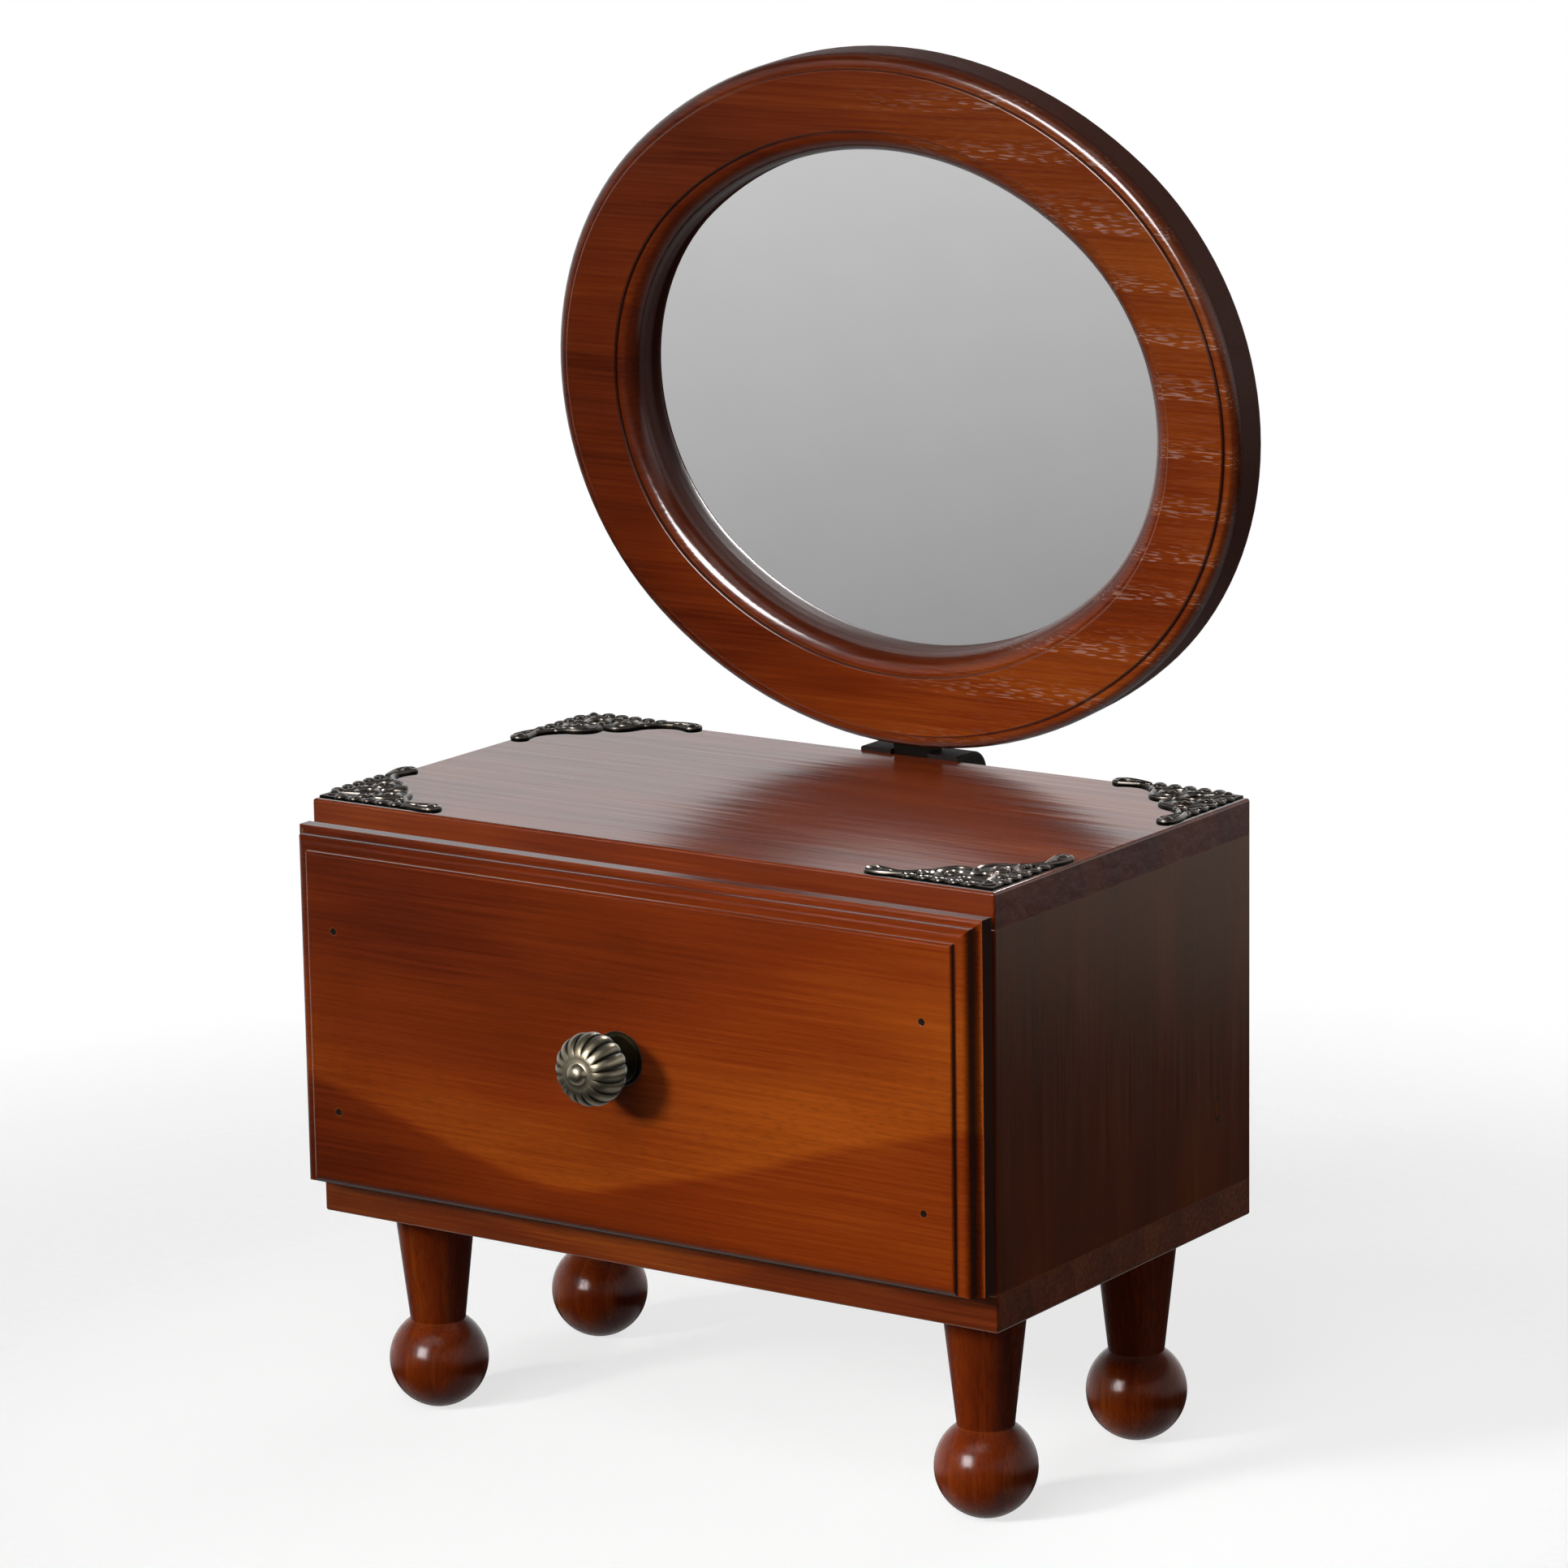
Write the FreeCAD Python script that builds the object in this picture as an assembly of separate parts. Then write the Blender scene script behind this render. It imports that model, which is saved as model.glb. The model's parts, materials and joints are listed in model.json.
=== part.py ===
import FreeCAD, Part
import math
import os

# Vanity mirror: a box with one drawer on four turned legs, and an oval mirror that tilts on a post behind it.
# Millimetres. X to the right, Y to the back, Z up, origin on the floor at the middle of the overall box.

V = FreeCAD.Vector
ORIGIN = V(0, 0, 0)
X_AXIS = V(1, 0, 0)
Y_AXIS = V(0, 1, 0)
Z_AXIS = V(0, 0, 1)
TOUCH = 0.001

# Carcass boards
CARCASS_WIDTH = 200.0
CARCASS_DEPTH = 117.1
CARCASS_HEIGHT = 105.9
TOP_THICKNESS = 9.0
BASE_THICKNESS = 9.5
SIDE_THICKNESS = 9.0
BACK_THICKNESS = 6.0
BOARD_ROUND = 0.7
PANEL_DOWEL_RADIUS = 2.5
PANEL_DOWEL_LENGTH = 20.0
PANEL_DOWEL_BITE = 6.0
PANEL_DOWEL_INSET = 22.0

# Turned legs
LEG_HEIGHT = 53.7
LEG_TOP_RADIUS = 10.5
LEG_NECK_RADIUS = 7.0
BALL_RADIUS = 12.6
FOOT_FLAT_RADIUS = 3.0
LEG_INSET_SIDE = 17.7
LEG_INSET_FRONT = 22.0
LEG_INSET_REAR = 25.7
LEG_DOWEL_RADIUS = 4.0
LEG_DOWEL_LENGTH = 20.0
LEG_DOWEL_BITE = 6.5

# Stamped corner ornaments
ORNAMENT_LEG = 37.0
ORNAMENT_THICKNESS = 1.2
ORNAMENT_EDGE = 0.4
ORNAMENT_TIP_RADIUS = 2.6
# Stamped pattern in shares of the ornament's leg: the scalloped edge, and round piercings as x, y and radius
ORNAMENT_WAIST = (0.76, 0.11)
ORNAMENT_SHOULDER = (0.61, 0.23)
ORNAMENT_LOBE = (0.53, 0.38)
ORNAMENT_CUSP = 0.39
ORNAMENT_PIERCINGS = ((0.25, 0.25, 0.065), (0.45, 0.22, 0.065), (0.33, 0.08, 0.04), (0.6, 0.08, 0.04))
ORNAMENT_PIN_INSET = 3.6
PIN_SHANK_RADIUS = 0.6
PIN_SHANK_LENGTH = 6.0
PIN_HEAD_RADIUS = 1.3
PIN_HEAD_HEIGHT = 0.7

# Drawer
DRAWER_GAP = 1.4
DRAWER_FRONT_THICKNESS = 9.0
DRAWER_FRONT_LIFT = 0.7
DRAWER_FRONT_DROP = 5.4
DRAWER_FRONT_BOTTOM_ROUND = 3.0
MOULDING_WIDTH = 5.3
MOULDING_DEPTH = 5.1
QUIRK_DEPTH = 1.3
QUIRK_FLAT = 1.6
FACE_ARRIS = 0.8
DRAWER_SIDE_CLEARANCE = 0.6
DRAWER_UNDER_CLEARANCE = 0.3
DRAWER_REAR_CLEARANCE = 0.8
DRAWER_SIDE_THICKNESS = 8.0
DRAWER_HEADROOM = 15.1
DRAWER_BACK_THICKNESS = 8.0
DRAWER_BOTTOM_THICKNESS = 3.0
DRAWER_BOTTOM_LIFT = 5.0
DRAWER_BOTTOM_GROOVE = 3.0
BRAD_HEAD_RADIUS = 0.9
BRAD_HEAD_HEIGHT = 1.0
BRAD_SHANK_RADIUS = 0.6
BRAD_LENGTH = 25.0
BRAD_PUNCH = 0.3
BRAD_ABOVE_FLOOR = 20.0
BRAD_BELOW_RIM = 6.0

# Knob and its screw
KNOB_PROJECTION = 19.0
KNOB_RADIUS = 9.0
KNOB_FOOT_RADIUS = 6.8
KNOB_FOOT_HEIGHT = 1.6
KNOB_NECK_RADIUS = 3.9
KNOB_NECK_END = 6.0
KNOB_BUTTON_RADIUS = 2.6
KNOB_BUTTON_HEIGHT = 1.8
FLUTE_COUNT = 16
FLUTE_RADIUS = 0.5
FLUTE_SWEEP = 150.0
KNOB_SCREW_RADIUS = 2.0
KNOB_SCREW_BITE = 8.0
KNOB_SCREW_HEAD_RADIUS = 4.0
KNOB_SCREW_HEAD_HEIGHT = 2.6

# Mirror frame, seen in section: inset from the sight edge, depth from the front face
SIGHT_HALF_WIDTH = 76.8
SIGHT_HALF_HEIGHT = 64.25
INNER_MOULDING = 5.5
FACE_WIDTH = 15.55
RIM_WIDTH = 3.7
FRAME_QUIRK_DEPTH = 1.0
FRAME_QUIRK_FLAT = 0.9
FRAME_ARRIS = 0.5
GLASS_DEPTH = 8.7
SIGHT_LIP = 2.2
REBATE_WIDTH = 4.0
FRAME_REAR_ROUND = 1.0
GLASS_THICKNESS = 2.0
BACKING_THICKNESS = 2.0
BACKING_RECESS = 0.3
GLASS_EDGE_CLEARANCE = 0.3
MIRROR_LEAN = 5.0

# Turn clips on the back of the frame
CLIP_COUNT = 6
CLIP_FIRST_ANGLE = 30.0
CLIP_LENGTH = 13.0
CLIP_WIDTH = 6.0
CLIP_THICKNESS = 0.8
CLIP_LAP = 4.0
CLIP_SCREW_INSET = 5.0
CLIP_SCREW_RADIUS = 0.9
CLIP_SCREW_BITE = 5.0
CLIP_SCREW_HEAD_RADIUS = 1.9
CLIP_SCREW_HEAD_HEIGHT = 1.0

# Tilting support
PIVOT_BACK_CLEARANCE = 0.5
PIVOT_BELOW_TOP = 8.5
FRAME_CLEARANCE = 2.5
TONGUE_WIDTH = 10.8
TONGUE_THICKNESS = 6.0
TANG_DEPTH = 14.0
KNUCKLE_RADIUS = 4.5
TONGUE_SCREW_RADIUS = 0.9
TONGUE_SCREW_HEAD_RADIUS = 1.8
TONGUE_SCREW_BITE = 5.0
TONGUE_SCREW_SPACING = 5.0
POST_WIDTH = 29.3
POST_DEPTH = 14.0
POST_HEIGHT = 52.0
POST_RISE = 1.0
POST_TOP_ROUND = 6.0
POST_FOOT_CHAMFER = 4.0
SLOT_CLEARANCE = 0.2
SLOT_FLOOR_CLEARANCE = 1.2
POST_SCREW_RADIUS = 1.8
POST_SCREW_HEAD_RADIUS = 3.6
POST_SCREW_BITE = 4.5
POST_SCREW_EDGE = 11.0
BOLT_RADIUS = 2.0
BOLT_HEAD_RADIUS = 4.2
BOLT_HEAD_HEIGHT = 2.6
BOLT_END = 1.0
BOLT_CLEARANCE = 0.05
WASHER_RADIUS = 4.4
WASHER_THICKNESS = 0.8
NUT_RADIUS = 4.6
NUT_LENGTH = 7.0
NUT_CHAMFER = 0.8

# Places worked out from the sizes
FRONT_REACH = DRAWER_GAP + DRAWER_FRONT_THICKNESS + KNOB_PROJECTION
OVERALL_DEPTH = FRONT_REACH + CARCASS_DEPTH + POST_DEPTH
FRONT = FRONT_REACH - OVERALL_DEPTH / 2
BACK = FRONT + CARCASS_DEPTH
HALF_WIDTH = CARCASS_WIDTH / 2
UNDERSIDE = LEG_HEIGHT
TOPSIDE = UNDERSIDE + CARCASS_HEIGHT
BASE_TOP = UNDERSIDE + BASE_THICKNESS
TOP_UNDER = TOPSIDE - TOP_THICKNESS
BAY_HALF_WIDTH = HALF_WIDTH - SIDE_THICKNESS
BAY_REAR = BACK - BACK_THICKNESS
DRAWER_REST = FRONT - DRAWER_GAP
DRAWER_FACE = DRAWER_REST - DRAWER_FRONT_THICKNESS
DRAWER_REAR = BAY_REAR - DRAWER_REAR_CLEARANCE
DRAWER_HALF_WIDTH = BAY_HALF_WIDTH - DRAWER_SIDE_CLEARANCE
DRAWER_INNER_HALF = DRAWER_HALF_WIDTH - DRAWER_SIDE_THICKNESS
DRAWER_FLOOR = BASE_TOP + DRAWER_UNDER_CLEARANCE
DRAWER_RIM = TOP_UNDER - DRAWER_HEADROOM
FRONT_LOW = BASE_TOP + DRAWER_FRONT_LIFT
FRONT_HIGH = TOPSIDE - DRAWER_FRONT_DROP
KNOB_HEIGHT = (FRONT_LOW + FRONT_HIGH) / 2
KNOB_HEAD_END = KNOB_PROJECTION - KNOB_BUTTON_HEIGHT
KNOB_HEAD_MIDDLE = (KNOB_NECK_END + KNOB_HEAD_END) / 2
FRAME_WIDTH = INNER_MOULDING + FACE_WIDTH + RIM_WIDTH
FRAME_THICKNESS = GLASS_DEPTH + GLASS_THICKNESS + BACKING_THICKNESS + BACKING_RECESS
SIGHT_EDGE_DEPTH = GLASS_DEPTH - SIGHT_LIP
PIVOT_BEHIND_BACK = max(KNUCKLE_RADIUS, WASHER_RADIUS, NUT_RADIUS, BOLT_HEAD_RADIUS) + PIVOT_BACK_CLEARANCE
PIVOT_DROP = PIVOT_BELOW_TOP + FRAME_CLEARANCE
PIVOT = V(0, BACK + PIVOT_BEHIND_BACK, TOPSIDE - PIVOT_BELOW_TOP)
SLOT_FLOOR = PIVOT.z - KNUCKLE_RADIUS - SLOT_FLOOR_CLEARANCE
OVAL_HEIGHT = PIVOT_DROP + FRAME_WIDTH + SIGHT_HALF_HEIGHT
FRAME_FACE = -FRAME_THICKNESS / 2
POST_TOP = TOPSIDE + POST_RISE
POST_FOOT = POST_TOP - POST_HEIGHT
POST_REAR = BACK + POST_DEPTH


def outline(steps):
    """Closed face from a list of corners; a (middle, end) pair in the list is an arc."""
    edges = []
    here = steps[0]
    for step in steps[1:] + [steps[0]]:
        if isinstance(step, tuple):
            middle, end = step
            edges.append(Part.Arc(here, middle, end).toShape())
            here = end
        elif (step - here).Length > TOUCH:
            edges.append(Part.LineSegment(here, step).toShape())
            here = step
    return Part.Face(Part.Wire(edges))


def turned(steps, base, direction):
    """Solid turned about an axis: corners are (radius, 0, height), the axis starts at base."""
    solid = outline(steps).revolve(ORIGIN, Z_AXIS, 360)
    solid.Placement = FreeCAD.Placement(base, FreeCAD.Rotation(Z_AXIS, direction))
    return solid


def rod(radius, length, base, direction):
    """Plain round rod from base along direction."""
    return Part.makeCylinder(radius, length, base, direction)


def board(low, high):
    """Plain board between two corners."""
    size = high - low
    return Part.makeBox(size.x, size.y, size.z, low)


def eased(shape, on_edge):
    """Board with the arrises that on_edge picks by their middle point rounded over."""
    edges = [edge for edge in shape.Edges if on_edge(edge.CenterOfMass)]
    return shape.makeFillet(BOARD_ROUND, edges)


def near(a, b):
    """True where two lengths are the same."""
    return abs(a - b) < TOUCH


def is_outer_corner(point):
    """True on the carcass's four upright outer corners."""
    return near(abs(point.x), HALF_WIDTH) and (near(point.y, FRONT) or near(point.y, BACK))


def is_front_edge(point):
    """True on every arris around the carcass's front."""
    return near(point.y, FRONT)


def is_rim(point):
    """True on the upper arrises of the drawer box."""
    return near(point.z, DRAWER_RIM)


def countersunk(radius, head_radius, length, base, direction):
    """Wood screw with its flat head at base, running along direction to a blunt point."""
    cone = head_radius - radius
    point = radius * 2
    steps = [V(0, 0, 0), V(head_radius, 0, 0), V(radius, 0, cone), V(radius, 0, length - point), V(0, 0, length)]
    return turned(steps, base, direction)


def cap_middle(radius, height):
    """Radius and height of the point half-way along a round cap's arc, from its rim to its top."""
    sphere = (radius ** 2 + height ** 2) / (2 * height)
    half_turn = math.atan2(radius, sphere - height) / 2
    return sphere * math.sin(half_turn), sphere * math.cos(half_turn) - (sphere - height)


def domed(radius, length, head_radius, head_height, base, direction):
    """Fastener with a domed head standing on base and its shank running along direction."""
    crown_radius, crown_height = cap_middle(head_radius, head_height)
    steps = [
        V(0, 0, -head_height),
        (V(crown_radius, 0, -crown_height), V(head_radius, 0, 0)),
        V(radius, 0, 0),
        V(radius, 0, length),
        V(0, 0, length),
    ]
    return turned(steps, base, direction)


def panel_dowels():
    """Dowels that join the side boards to the top and the base."""
    dowels = []
    for side in (-1, 1):
        x = side * (HALF_WIDTH - SIDE_THICKNESS / 2)
        for y in (FRONT + PANEL_DOWEL_INSET, BACK - PANEL_DOWEL_INSET):
            low = V(x, y, BASE_TOP - PANEL_DOWEL_BITE)
            high = V(x, y, TOP_UNDER + PANEL_DOWEL_BITE)
            dowels.append(rod(PANEL_DOWEL_RADIUS, PANEL_DOWEL_LENGTH, low, Z_AXIS))
            dowels.append(rod(PANEL_DOWEL_RADIUS, PANEL_DOWEL_LENGTH, high, -Z_AXIS))
    return Part.makeCompound(dowels)


def leg_places():
    """Leg axes where they meet the underside of the base, by name."""
    x = HALF_WIDTH - LEG_INSET_SIDE
    front = FRONT + LEG_INSET_FRONT
    rear = BACK - LEG_INSET_REAR
    return {
        "front_left": V(-x, front, UNDERSIDE),
        "front_right": V(x, front, UNDERSIDE),
        "rear_left": V(-x, rear, UNDERSIDE),
        "rear_right": V(x, rear, UNDERSIDE),
    }


def leg_dowels():
    """Dowels that join the legs to the base."""
    drop = V(0, 0, LEG_DOWEL_BITE - LEG_DOWEL_LENGTH)
    return Part.makeCompound([
        rod(LEG_DOWEL_RADIUS, LEG_DOWEL_LENGTH, place + drop, Z_AXIS) for place in leg_places().values()
    ])


def leg(place, dowels):
    """Turned leg hanging from place: a cone that runs into a ball with a small flat under it."""
    ball = LEG_HEIGHT - math.sqrt(BALL_RADIUS ** 2 - FOOT_FLAT_RADIUS ** 2)
    neck = ball - math.sqrt(BALL_RADIUS ** 2 - LEG_NECK_RADIUS ** 2)
    steps = [
        V(0, 0, 0),
        V(LEG_TOP_RADIUS, 0, 0),
        V(LEG_NECK_RADIUS, 0, neck),
        (V(BALL_RADIUS, 0, ball), V(FOOT_FLAT_RADIUS, 0, LEG_HEIGHT)),
        V(0, 0, LEG_HEIGHT),
    ]
    return turned(steps, place, -Z_AXIS).cut(dowels)


def corner_places():
    """Outer corner of each ornament on the top, with the way its two legs run, by name."""
    x = HALF_WIDTH - ORNAMENT_EDGE
    front = FRONT + ORNAMENT_EDGE
    rear = BACK - ORNAMENT_EDGE
    return {
        "front_left": (V(-x, front, TOPSIDE), 1, 1),
        "front_right": (V(x, front, TOPSIDE), -1, 1),
        "rear_left": (V(-x, rear, TOPSIDE), 1, -1),
        "rear_right": (V(x, rear, TOPSIDE), -1, -1),
    }


def ornament_pin_spots():
    """Pin places in an ornament's own corner: one by the corner, one in each tip."""
    far = ORNAMENT_LEG - ORNAMENT_TIP_RADIUS
    return [(ORNAMENT_PIN_INSET, ORNAMENT_PIN_INSET), (far, ORNAMENT_TIP_RADIUS), (ORNAMENT_TIP_RADIUS, far)]


def ornament_pins():
    """Domed pins that hold the ornaments to the top."""
    pins = []
    for corner, along_x, along_y in corner_places().values():
        for x, y in ornament_pin_spots():
            seat = corner + V(along_x * x, along_y * y, ORNAMENT_THICKNESS)
            pins.append(domed(PIN_SHANK_RADIUS, PIN_SHANK_LENGTH, PIN_HEAD_RADIUS, PIN_HEAD_HEIGHT, seat, -Z_AXIS))
    return Part.makeCompound(pins)


def ornament(corner, along_x, along_y, pins):
    """Stamped corner: two curled legs and a pierced leaf between them."""
    span = ORNAMENT_LEG
    tip = ORNAMENT_TIP_RADIUS

    def at(x, y):
        return corner + V(along_x * x, along_y * y, 0)

    def share(x, y):
        return at(x * span, y * span)

    def mirrored(x, y):
        return share(y, x)

    plate = outline([
        at(0, 0),
        at(span - tip, 0),
        (at(span, tip), at(span - tip, 2 * tip)),
        (share(*ORNAMENT_WAIST), share(*ORNAMENT_SHOULDER)),
        (share(*ORNAMENT_LOBE), share(ORNAMENT_CUSP, ORNAMENT_CUSP)),
        (mirrored(*ORNAMENT_LOBE), mirrored(*ORNAMENT_SHOULDER)),
        (mirrored(*ORNAMENT_WAIST), at(2 * tip, span - tip)),
        (at(tip, span), at(0, span - tip)),
    ]).extrude(V(0, 0, ORNAMENT_THICKNESS))
    for x, y, size in ORNAMENT_PIERCINGS:
        for place in (share(x, y), mirrored(x, y)):
            plate = plate.cut(rod(size * span, ORNAMENT_THICKNESS, place, Z_AXIS))
    return plate.cut(pins)


def support_post(fixings):
    """Post behind the carcass with a slot for the tongue, bored for the bolt and its screws."""
    corner = POST_TOP_ROUND * (1 - math.sin(math.pi / 4))
    x = -POST_WIDTH / 2
    post = outline([
        V(x, BACK, POST_FOOT),
        V(x, BACK, POST_TOP),
        V(x, POST_REAR - POST_TOP_ROUND, POST_TOP),
        (V(x, POST_REAR - corner, POST_TOP - corner), V(x, POST_REAR, POST_TOP - POST_TOP_ROUND)),
        V(x, POST_REAR, POST_FOOT + POST_FOOT_CHAMFER),
        V(x, POST_REAR - POST_FOOT_CHAMFER, POST_FOOT),
    ]).extrude(V(POST_WIDTH, 0, 0))
    post = eased(post, lambda p: near(abs(p.x), POST_WIDTH / 2) and p.y > BACK + POST_DEPTH / 2)
    half_slot = TONGUE_WIDTH / 2 + SLOT_CLEARANCE
    slot = board(V(-half_slot, BACK, SLOT_FLOOR), V(half_slot, POST_REAR, POST_TOP))
    bore = rod(BOLT_RADIUS + BOLT_CLEARANCE, POST_WIDTH, PIVOT + V(x, 0, 0), X_AXIS)
    return post.cut(slot).cut(bore).cut(fixings)


def post_screws():
    """Two screws through the post into the back board."""
    length = POST_DEPTH + POST_SCREW_BITE
    return Part.makeCompound([
        countersunk(POST_SCREW_RADIUS, POST_SCREW_HEAD_RADIUS, length, V(0, POST_REAR, z), -Y_AXIS)
        for z in (POST_FOOT + POST_SCREW_EDGE, SLOT_FLOOR - POST_SCREW_EDGE)
    ])


def pivot_bolt():
    """Domed bolt across the post, on which the mirror tilts."""
    start = POST_WIDTH / 2 + WASHER_THICKNESS
    length = 2 * start + NUT_LENGTH + BOLT_END
    return domed(BOLT_RADIUS, length, BOLT_HEAD_RADIUS, BOLT_HEAD_HEIGHT, PIVOT - V(start, 0, 0), X_AXIS)


def pivot_washers():
    """One washer on each cheek of the post."""
    hole = BOLT_RADIUS + BOLT_CLEARANCE
    washers = []
    for side in (-1, 1):
        base = PIVOT + V(side * POST_WIDTH / 2, 0, 0)
        ring = rod(WASHER_RADIUS, WASHER_THICKNESS, base, X_AXIS * side)
        washers.append(ring.cut(rod(hole, WASHER_THICKNESS, base, X_AXIS * side)))
    return Part.makeCompound(washers)


def pivot_nut(bolt):
    """Thumb nut that sets the friction of the tilt."""
    steps = [
        V(0, 0, 0),
        V(NUT_RADIUS - NUT_CHAMFER, 0, 0),
        V(NUT_RADIUS, 0, NUT_CHAMFER),
        V(NUT_RADIUS, 0, NUT_LENGTH - NUT_CHAMFER),
        V(NUT_RADIUS - NUT_CHAMFER, 0, NUT_LENGTH),
        V(0, 0, NUT_LENGTH),
    ]
    return turned(steps, PIVOT + V(POST_WIDTH / 2 + WASHER_THICKNESS, 0, 0), X_AXIS).cut(bolt)


def moulding(at):
    """Steps of the drawer front's moulding from its outer edge in to the face; at(inset, depth) gives a point."""
    ogee_width = (MOULDING_WIDTH - QUIRK_FLAT) / 2
    ogee_depth = (MOULDING_DEPTH - QUIRK_DEPTH) / 2
    radius = (ogee_width ** 2 + ogee_depth ** 2) / (2 * ogee_depth)
    turn = math.atan2(ogee_width, radius - ogee_depth) / 2
    aside = radius * math.sin(turn)
    along = radius * (1 - math.cos(turn))
    flat_end = MOULDING_WIDTH - QUIRK_FLAT
    arris_corner = FACE_ARRIS * (1 - math.sin(math.pi / 4))
    return [
        at(0, MOULDING_DEPTH),
        (at(aside, MOULDING_DEPTH - along), at(ogee_width, MOULDING_DEPTH - ogee_depth)),
        (at(flat_end - aside, QUIRK_DEPTH + along), at(flat_end, QUIRK_DEPTH)),
        at(MOULDING_WIDTH, QUIRK_DEPTH),
        at(MOULDING_WIDTH, FACE_ARRIS),
        (at(MOULDING_WIDTH + arris_corner, arris_corner), at(MOULDING_WIDTH + FACE_ARRIS, 0)),
    ]


def drawer_front(fixings):
    """Overlay front, moulded along its top and sides and rounded below."""
    round_over = DRAWER_FRONT_BOTTOM_ROUND
    corner = round_over * (1 - math.sin(math.pi / 4))
    x = -HALF_WIDTH
    upright = outline(
        [V(x, DRAWER_REST, FRONT_LOW), V(x, DRAWER_REST, FRONT_HIGH)]
        + moulding(lambda inset, depth: V(x, DRAWER_FACE + depth, FRONT_HIGH - inset))
        + [V(x, DRAWER_FACE, FRONT_LOW + round_over),
           (V(x, DRAWER_FACE + corner, FRONT_LOW + corner), V(x, DRAWER_FACE + round_over, FRONT_LOW))]
    ).extrude(V(CARCASS_WIDTH, 0, 0))
    right = moulding(lambda inset, depth: V(HALF_WIDTH - inset, DRAWER_FACE + depth, FRONT_LOW))
    left = moulding(lambda inset, depth: V(inset - HALF_WIDTH, DRAWER_FACE + depth, FRONT_LOW))
    plan = outline(
        [V(-HALF_WIDTH, DRAWER_REST, FRONT_LOW), V(HALF_WIDTH, DRAWER_REST, FRONT_LOW)]
        + right + turned_back(left)
    ).extrude(V(0, 0, FRONT_HIGH - FRONT_LOW))
    return upright.common(plan).cut(fixings)


def turned_back(steps):
    """The same steps of an outline, walked from the last to the first."""
    ends = [step[1] if isinstance(step, tuple) else step for step in steps]
    back = [ends[-1]]
    for index in range(len(steps) - 1, 0, -1):
        step = steps[index]
        back.append((step[0], ends[index - 1]) if isinstance(step, tuple) else ends[index - 1])
    return back


def drawer_side(side, bottom, fixings):
    """Side of the drawer box, grooved for the bottom; side is -1 at the left and 1 at the right."""
    inner = side * DRAWER_INNER_HALF
    outer = side * DRAWER_HALF_WIDTH
    low = V(min(inner, outer), DRAWER_REST, DRAWER_FLOOR)
    high = V(max(inner, outer), DRAWER_REAR, DRAWER_RIM)
    return eased(board(low, high), is_rim).cut(bottom).cut(fixings)


def drawer_back(bottom):
    """Back of the drawer box, between its sides."""
    low = V(-DRAWER_INNER_HALF, DRAWER_REAR - DRAWER_BACK_THICKNESS, DRAWER_FLOOR)
    return eased(board(low, V(DRAWER_INNER_HALF, DRAWER_REAR, DRAWER_RIM)), is_rim).cut(bottom)


def drawer_bottom():
    """Thin bottom in the grooves of the drawer box."""
    half = DRAWER_INNER_HALF + DRAWER_BOTTOM_GROOVE
    rear = DRAWER_REAR - DRAWER_BACK_THICKNESS + DRAWER_BOTTOM_GROOVE
    low = DRAWER_FLOOR + DRAWER_BOTTOM_LIFT
    return board(V(-half, DRAWER_REST, low), V(half, rear, low + DRAWER_BOTTOM_THICKNESS))


def front_brads():
    """Brads through the front into the ends of the drawer sides, punched just under the face."""
    x = DRAWER_HALF_WIDTH - DRAWER_SIDE_THICKNESS / 2
    steps = [
        V(0, 0, 0),
        V(BRAD_HEAD_RADIUS, 0, 0),
        V(BRAD_HEAD_RADIUS, 0, BRAD_HEAD_HEIGHT),
        V(BRAD_SHANK_RADIUS, 0, BRAD_HEAD_HEIGHT),
        V(BRAD_SHANK_RADIUS, 0, BRAD_LENGTH),
        V(0, 0, BRAD_LENGTH),
    ]
    return Part.makeCompound([
        turned(steps, V(side * x, DRAWER_FACE + BRAD_PUNCH, z), Y_AXIS)
        for side in (-1, 1) for z in (DRAWER_FLOOR + BRAD_ABOVE_FLOOR, DRAWER_RIM - BRAD_BELOW_RIM)
    ])


def brad_pits():
    """Small pits that the punched brads leave in the face."""
    return Part.makeCompound([
        rod(BRAD_HEAD_RADIUS, BRAD_PUNCH, V(brad.CenterOfMass.x, DRAWER_FACE, brad.CenterOfMass.z), Y_AXIS)
        for brad in front_brads().Solids
    ])


def knob(screw):
    """Round knob: foot, waisted neck, full head and a small button at its tip."""
    button_radius, button_rise = cap_middle(KNOB_BUTTON_RADIUS, KNOB_BUTTON_HEIGHT)
    waist = (KNOB_FOOT_HEIGHT + KNOB_NECK_END) / 2
    head_mouth = (KNOB_NECK_RADIUS + KNOB_BUTTON_RADIUS) / 2
    steps = [
        V(0, 0, 0),
        V(KNOB_FOOT_RADIUS, 0, 0),
        V(KNOB_FOOT_RADIUS, 0, KNOB_FOOT_HEIGHT),
        (V(KNOB_NECK_RADIUS, 0, waist), V(KNOB_NECK_RADIUS, 0, KNOB_NECK_END)),
        (V(KNOB_RADIUS, 0, KNOB_HEAD_MIDDLE), V(head_mouth, 0, KNOB_HEAD_END)),
        V(KNOB_BUTTON_RADIUS, 0, KNOB_HEAD_END),
        (V(button_radius, 0, KNOB_HEAD_END + button_rise), V(0, 0, KNOB_PROJECTION)),
    ]
    return turned(steps, V(0, DRAWER_FACE, KNOB_HEIGHT), -Y_AXIS).cut(knob_flutes(head_mouth)).cut(screw)


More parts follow.
